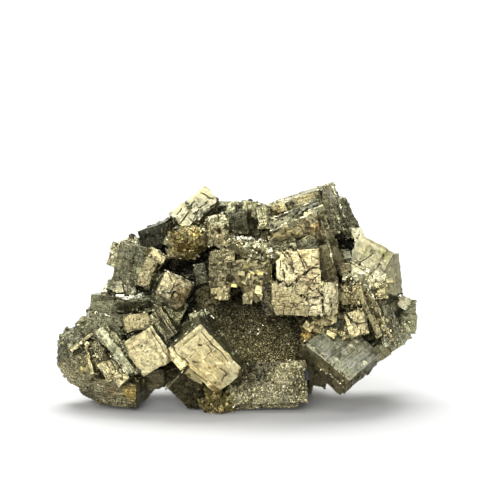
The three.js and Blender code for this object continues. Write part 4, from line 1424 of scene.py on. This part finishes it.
# %% [markdown]
# ## Painted highlights along the edges
# Small boxes painted bright lie as silver glints on a few dark edges and as cream lines on some ridges,
# partly wear and partly painted highlight; one ledge is white with crushed crystals, painted bright as the
# light it catches, and beside the foot a facet is painted black, a painted reflection of the dark. Each line
# is drawn in the photo's frame and thrown onto the solid, and boxes are laid along it. What kind of box, how
# long, how close and how unruly is one row for each kind of line.

# %% Painted highlights along the edges
# colour; length and width of the boxes in mm; step: pixels from one to the next; gaps: share left out;
# stray: how far they lie off the line; lean: how much they are turned
# each kind's colour is a painted highlight, but the near black of the facet by the foot is a painted
# reflection of the dark
PAINTED_LIGHT_KINDS = table(("colour", "long", "wide", "step", "gaps", "stray", "lean"), {
    "sliver": ((0.66, 0.63, 0.48), (0.4, 1.1), (0.10, 0.24), 2.6, 0.35, 0.5, 0.15),
    "sliver in the hollow": ((0.66, 0.63, 0.48), (0.4, 1.1), (0.10, 0.24), 2.0, 0.1, 0.5, 0.15),
    "cream": ((0.62, 0.58, 0.38), (0.25, 0.75), (0.2, 0.5), 1.1, 0.25, 2.2, 0.5),
    "wear and highlight": ((0.60, 0.56, 0.36), (0.6, 1.3), (0.22, 0.42), 1.6, 0.12, 0.7, 0.16),
    "rim": ((0.50, 0.46, 0.30), (0.7, 1.2), (0.2, 0.32), 1.6, 0.0, 0.3, 0.1),
    "ledge": ((0.66, 0.64, 0.50), (1.0, 2.2), (0.4, 1.0), 1.4, 0.1, 1.8, 0.22),
    "painted dark reflection": ((0.012, 0.012, 0.012), (2.2, 2.8), (1.2, 1.7), 6.0, 0.0, 0.2, 0.1),
})
# name: kind, then corners of the line in the photo's frame
PAINTED_LIGHT_LINES = {
    "centre cube ridge": ("sliver", (204, 308), (216, 325)),
    "centre cube ridge low": ("sliver", (222, 334), (231, 344), (238, 354)),
    "centre cube outer ridge": ("sliver", (209, 313), (221, 327), (232, 340)),
    "centre cube edge": ("cream", (176, 341), (187, 333), (196, 326)),
    "left cube corner": ("sliver", (170, 338), (164, 348)),
    "needle over the hollow": ("sliver", (225, 298), (223, 303), (221, 308)),
    "left foot edge": ("sliver", (99, 385), (105, 387), (110, 388)),
    "white ledge": ("ledge", (119, 296), (128, 298), (138, 297), (148, 293)),
    "long bar, left edge": ("cream", (97, 334), (106, 349), (116, 364), (124, 374)),
    "wedge ledge, white top": ("ledge", (233, 238), (246, 239), (258, 238)),
    "leaning cube top edge": ("rim", (182, 372), (166, 389)),
    "leaning cube low edge": ("rim", (166, 390), (190, 411)),
    "bar edge": ("sliver", (106, 315), (112, 317), (120, 321)),
    "grey block edge": ("cream", (88, 312), (96, 313), (106, 316)),
    "nested cube ridge": ("wear and highlight", (271, 231), (283, 225), (296, 220), (307, 216), (318, 210)),
    "outer cube, left band": ("wear and highlight", (272, 219), (284, 214), (296, 209), (308, 204)),
    "nested cube side rim": ("wear and highlight", (319, 212), (324, 230), (329, 246), (333, 262)),
    "outer cube rim": ("wear and highlight", (331, 186), (336, 195), (341, 208), (347, 222)),
    "outer cube top": ("wear and highlight", (266, 205), (280, 201), (296, 194)),
    "outer cube top end": ("wear and highlight", (318, 190), (325, 186), (333, 184)),
    "painted dark reflection by the foot block": ("painted dark reflection", (307, 376), (308, 388)),
    "painted highlight at the dark reflection's end": ("sliver", (304, 370), (306, 374), (304, 377)),
    "wedge ledge edge": ("cream", (230, 238), (238, 243), (248, 249), (262, 255)),
    "wedge ledge back": ("cream", (240, 238), (255, 240), (268, 241)),
    "slab rim": ("sliver", (366, 287), (372, 294), (378, 305)),
    "slab rim low": ("sliver", (380, 312), (386, 326), (391, 337)),
    "foot glint": ("sliver", (236, 404), (230, 411)),
    "perched cube top edge": ("wear and highlight", (166, 271), (180, 277), (193, 283)),
    "perched cube low corner": ("cream", (157, 291), (166, 294)),
    "small crystal in the hollow, left": ("sliver in the hollow", (250, 334), (250, 330), (254, 327)),
    "small crystal in the hollow, right": ("sliver in the hollow", (256, 327), (260, 331), (256, 336)),
    "small crystal in the hollow, low": ("sliver in the hollow", (250, 334), (254, 338)),
    "speck in the hollow": ("sliver in the hollow", (261, 323), (263, 326)),
    "speck at the hollow's edge": ("sliver", (291, 344), (293, 349)),
    "striped cube front edge": ("cream", (305, 340), (322, 355), (338, 370), (352, 383)),
    "striped cube layer": ("cream", (318, 366), (332, 376), (344, 387)),
}

crust_points, crust_triangles = node_triangles("hollow_crust")
crust_normals, _ = normals_and_areas(crust_points, crust_triangles)
crust_tree = BVHTree.FromPolygons([Vector(p) for p in crust_points], crust_triangles.tolist())
triangle_normals = face_normal[face_of]


def painted_light_along_edges():
    """Boxes along every named line, lying the way the line runs, coloured as painted highlights and one
    painted reflection.
    """
    chance = np.random.default_rng(14)
    middles, turns, sizes, tints = [], [], [], []
    for name, *corners in PAINTED_LIGHT_LINES.values():
        kind = PAINTED_LIGHT_KINDS[name]
        tree, normals = (crust_tree, crust_normals) if "hollow" in name else (rock_tree, triangle_normals)
        for place, triangle, way in follow(corners, kind["step"], tree):
            if chance.random() < kind["gaps"]:
                continue
            out = normals[triangle] + chance.normal(0, kind["lean"], 3)
            side = np.cross(out, way + chance.normal(0, kind["lean"], 3))
            side /= np.linalg.norm(side)
            along = np.cross(side, out)
            along /= np.linalg.norm(along)
            moved = side * chance.normal(0, 0.1 * kind["stray"]) + along * chance.normal(0, 0.15)
            middles.append(place + moved)
            turns.append([along, side, np.cross(along, side)])
            sizes.append([chance.uniform(*part) for part in (kind["long"], kind["wide"], (0.2, 0.45))])
            # the painted highlight's colour, or the painted dark reflection's
            tints.append(np.array(kind["colour"]) * chance.uniform(0.35, 1.1))
    return little_boxes("painted_light_lines", np.array(middles), np.array(turns), np.array(sizes), np.array(tints),
                        (0.2, 0.2, 0.74), chance, 0.2)


glints = painted_light_along_edges()
glints.data.materials.append(pyrite)
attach(glints, "root")
print(len(glints.data.polygons) // len(BOX_TRIANGLES), "painted highlights along", len(PAINTED_LIGHT_LINES), "edges")

# %% [markdown]
# ## Sugar on the crystals
# The foot, the leaning cube and the rock on the left carry the same fine crystals as the hollow. Bump alone
# can't give the glitter, because every grain has to catch the light its own way, so they are real cubes,
# turned by chance and set closest where the finish is grainy.

# %% Sugar on the crystals
SUGAR_SHARE = {"grainy": 1.0, "dark grainy": 0.25, "black hollow": 0.6}
SUGAR_GRAINS = 15500


def grain_sizes(least, most, count, chance):
    """Sizes of nearly cubic grains."""
    return chance.uniform(least, most, (count, 1)) * chance.uniform(0.8, 1.2, (count, 3))


def sunk_grains(spots, up, sizes):
    """The middles of grains that sit a little in their ground."""
    return spots - up * sizes[:, :1] * 0.15


def sugar_on_crystals():
    """Grains on the grainy finishes, few of them on the back."""
    chance = np.random.default_rng(6)
    weight = np.array([SUGAR_SHARE.get(name, 0.0) for name in face_finish])
    weight = weight * np.where(turned_back < 0.25, 1.0, 0.12)
    spots, up, chosen = scatter(points, triangles, weight, SUGAR_GRAINS, chance)
    sizes = grain_sizes(0.17, 0.34, SUGAR_GRAINS, chance)
    colours = no_brighter(rock_colours(chosen, spots) * chance.uniform(0.55, 1.4, (SUGAR_GRAINS, 1)), 0.8)
    turns = random_turns(SUGAR_GRAINS, chance)
    return little_boxes("sugar_on_crystals", sunk_grains(spots, up, sizes), turns, sizes, colours,
                        (0.4, 0.0, 0.74), chance)


sugar = sugar_on_crystals()
sugar.data.materials.append(pyrite)
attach(sugar, "root")
print(SUGAR_GRAINS, "grains")

# %% [markdown]
# ## The sugary crust in the hollow
# The hollow between the large cubes is lined with a crust of very small crystals, so fine that it glitters
# like coarse sugar. Its upper part lies deep under the overhanging cubes and is painted almost black, as
# shade. The crust's solid is divided and roughened as the ground, and tiny cubes are set all over it, every
# one turned its own way, which is what makes the glitter.

# %% The crust
CRUST_GRAINS = 15000
CRUST_HUE = np.array([1.0, 0.88, 0.46])
# painted shade: the crust darkens from CRUST_FOOT up to CRUST_TOP, and towards the side right of CRUST_RIGHT
CRUST_FOOT, CRUST_TOP = 12, 34         # mm above the floor, from its light part to its black part
CRUST_RIGHT = 9                        # mm to the right of the middle, where it darkens towards the side


def crust_tone_and_painted_shade(places, chance):
    """Painted shade, dark at the deep top and the right side of the hollow and lighter below; random tone,
    and a few grains painted brighter as glints.
    """
    height = np.clip((places[:, 2] - CRUST_FOOT) / (CRUST_TOP - CRUST_FOOT), 0, 1)
    rightward = places[:, 0] - CRUST_RIGHT
    # painted shade: darker towards the deep top and towards the right side
    tone = (0.33 - 0.319 * height ** 0.65) * (1 + 0.2 * noise(places, 4.0, 41))
    tone = tone * np.clip(1.25 - rightward / 18, 0.35, 1)
    tone = tone * np.clip(1 - height * np.maximum(0, rightward) / 6, 0.2, 1)
    tone = tone * chance.uniform(0.65, 1.3, len(places))
    # painted glints: a few grains brighter
    tone = np.where(chance.random(len(places)) < 0.03, tone * 1.8, tone)
    return np.clip(tone, 0.011, 0.8)[:, None] * CRUST_HUE


def crust_ground():
    """The crust's own surface, divided and roughened: its points and triangles."""
    shape = bmesh.new()
    corners = [shape.verts.new(p) for p in crust_points]
    for triangle in crust_triangles:
        shape.faces.new([corners[k] for k in triangle])
    long_edges = [edge for edge in shape.edges if edge.calc_length() > 1.5]
    bmesh.ops.subdivide_edges(shape, edges=long_edges, cuts=3, use_grid_fill=True)
    bmesh.ops.triangulate(shape, faces=shape.faces)
    shape.normal_update()
    ground = np.array([v.co[:] for v in shape.verts])
    outward = np.array([v.normal[:] for v in shape.verts])
    faces = np.array([[v.index for v in face.verts] for face in shape.faces])
    shape.free()
    return ground - outward * (0.12 + 0.12 * noise(ground, 0.9, 42))[:, None], faces


def sugary_crust():
    """The ground of the crust and its grains, as one mesh."""
    chance = np.random.default_rng(8)
    ground, faces = crust_ground()
    weight = (crust_normals[:, 1] < 0.2).astype(float)
    spots, up, _ = scatter(crust_points, crust_triangles, weight, CRUST_GRAINS, chance)
    sizes = grain_sizes(0.22, 0.46, CRUST_GRAINS, chance)
    grains = sunk_grains(spots, up, sizes)
    boxes, box_faces = box_points(grains, random_turns(CRUST_GRAINS, chance), sizes)
    all_points = np.vstack([ground, boxes])
    all_faces = np.vstack([faces, box_faces + len(ground)])
    ground_tint = crust_tone_and_painted_shade(ground[faces].reshape(-1, 3), chance) * 0.6
    tint = np.vstack([ground_tint, for_box_corners(crust_tone_and_painted_shade(grains, chance))])
    corner_places = all_points[all_faces].reshape(-1, 3)
    manner = np.tile((0.4, 0.0, 0.8), (len(tint), 1))
    return mesh_of("sugary_crust", all_points, all_faces, tint, corner_places, manner)


crust = sugary_crust()
crust.data.materials.append(pyrite)
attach(crust, "root")
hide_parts("hollow_crust")
print("crust of", len(crust.data.polygons), "triangles")

# %% [markdown]
# ## Floor, backdrop and light
# The specimen stands on plain paper that runs up into the backdrop in one curve, so no horizon shows. The
# paper is grey and comes out nearly white, because the light is set for the dark mineral. The strongest
# light is broad and comes from above and behind: it draws the soft shadow in front of the foot. Metal shows
# what it mirrors, so the faces that look at the viewer are dark without a lamp in front of them, and a
# second broad lamp gives their sheen.

# %% Floor and backdrop
FLOOR_WIDTH, FLOOR_FRONT, BACKDROP_TOP = 4.0, -1.6, 1.8        # metres
BACK, TURN = 0.9, 0.35                                         # where the backdrop stands, and its curve


def sweep(name, width, rows):
    """A strip of the given width through rows of (distance to the back, height), all in metres."""
    data = bpy.data.meshes.new(name)
    corners = [(side * width / 2, y, z) for y, z in rows for side in (-1, 1)]
    quads = [(2 * i, 2 * i + 1, 2 * i + 3, 2 * i + 2) for i in range(len(rows) - 1)]
    data.from_pydata(corners, [], quads)
    data.shade_smooth()
    made = bpy.data.objects.new(name, data)
    bpy.context.scene.collection.objects.link(made)
    return made


rows = [(FLOOR_FRONT, 0.0), (BACK - TURN, 0.0)]
for bend in np.linspace(0.1, math.pi / 2, 14):
    rows.append((BACK - TURN + TURN * math.sin(bend), TURN - TURN * math.cos(bend)))
rows.append((BACK, BACKDROP_TOP))
floor = sweep("floor", FLOOR_WIDTH, rows)
paper = bpy.data.materials.new("white_paper")
paper.use_nodes = True
paper_look = {"Base Color": (0.52, 0.52, 0.515, 1), "Roughness": 0.9, "Emission Color": (1, 1, 1, 1),
              "Emission Strength": 0.02}
for key, value in paper_look.items():
    paper.node_tree.nodes["Principled BSDF"].inputs[key].default_value = value
floor.data.materials.append(paper)
print("floor of", len(rows), "rows")

# %% Lamps
SPECIMEN_MIDDLE = (0, 0, 0.025)
BACKDROP_FOOT = (0, 1.2, 0.3)


def lamp(name, place, size, power, aim=SPECIMEN_MIDDLE):
    """A rectangular lamp at a place in metres, turned to its aim."""
    data = bpy.data.lights.new(name, "AREA")
    data.shape = "RECTANGLE"
    data.size, data.size_y = size
    data.energy = power
    made = bpy.data.objects.new(name, data)
    made.location = place
    made.rotation_euler = (Vector(place) - Vector(aim)).to_track_quat("Z", "Y").to_euler()
    bpy.context.scene.collection.objects.link(made)


lamp("front softbox", (-0.2, -0.9, 0.34), (0.8, 0.5), 11)
lamp("high softbox", (-0.1, -0.25, 0.85), (0.7, 0.4), 2.8)
lamp("back softbox", (-0.08, 0.36, 0.86), (0.8, 0.5), 12)
lamp("backdrop lamp", (0, 0.45, 0.9), (0.9, 0.1), 9, aim=BACKDROP_FOOT)
lamp("left strip", (-0.9, -0.35, 0.35), (0.15, 0.6), 1.0)

world = bpy.data.worlds.new("studio")
world.use_nodes = True
world.node_tree.nodes["Background"].inputs["Color"].default_value = (1, 1, 1, 1)
world.node_tree.nodes["Background"].inputs["Strength"].default_value = 0.06
bpy.context.scene.world = world
bpy.context.scene.view_settings.view_transform = "Standard"
print(len(bpy.data.lights), "lamps")
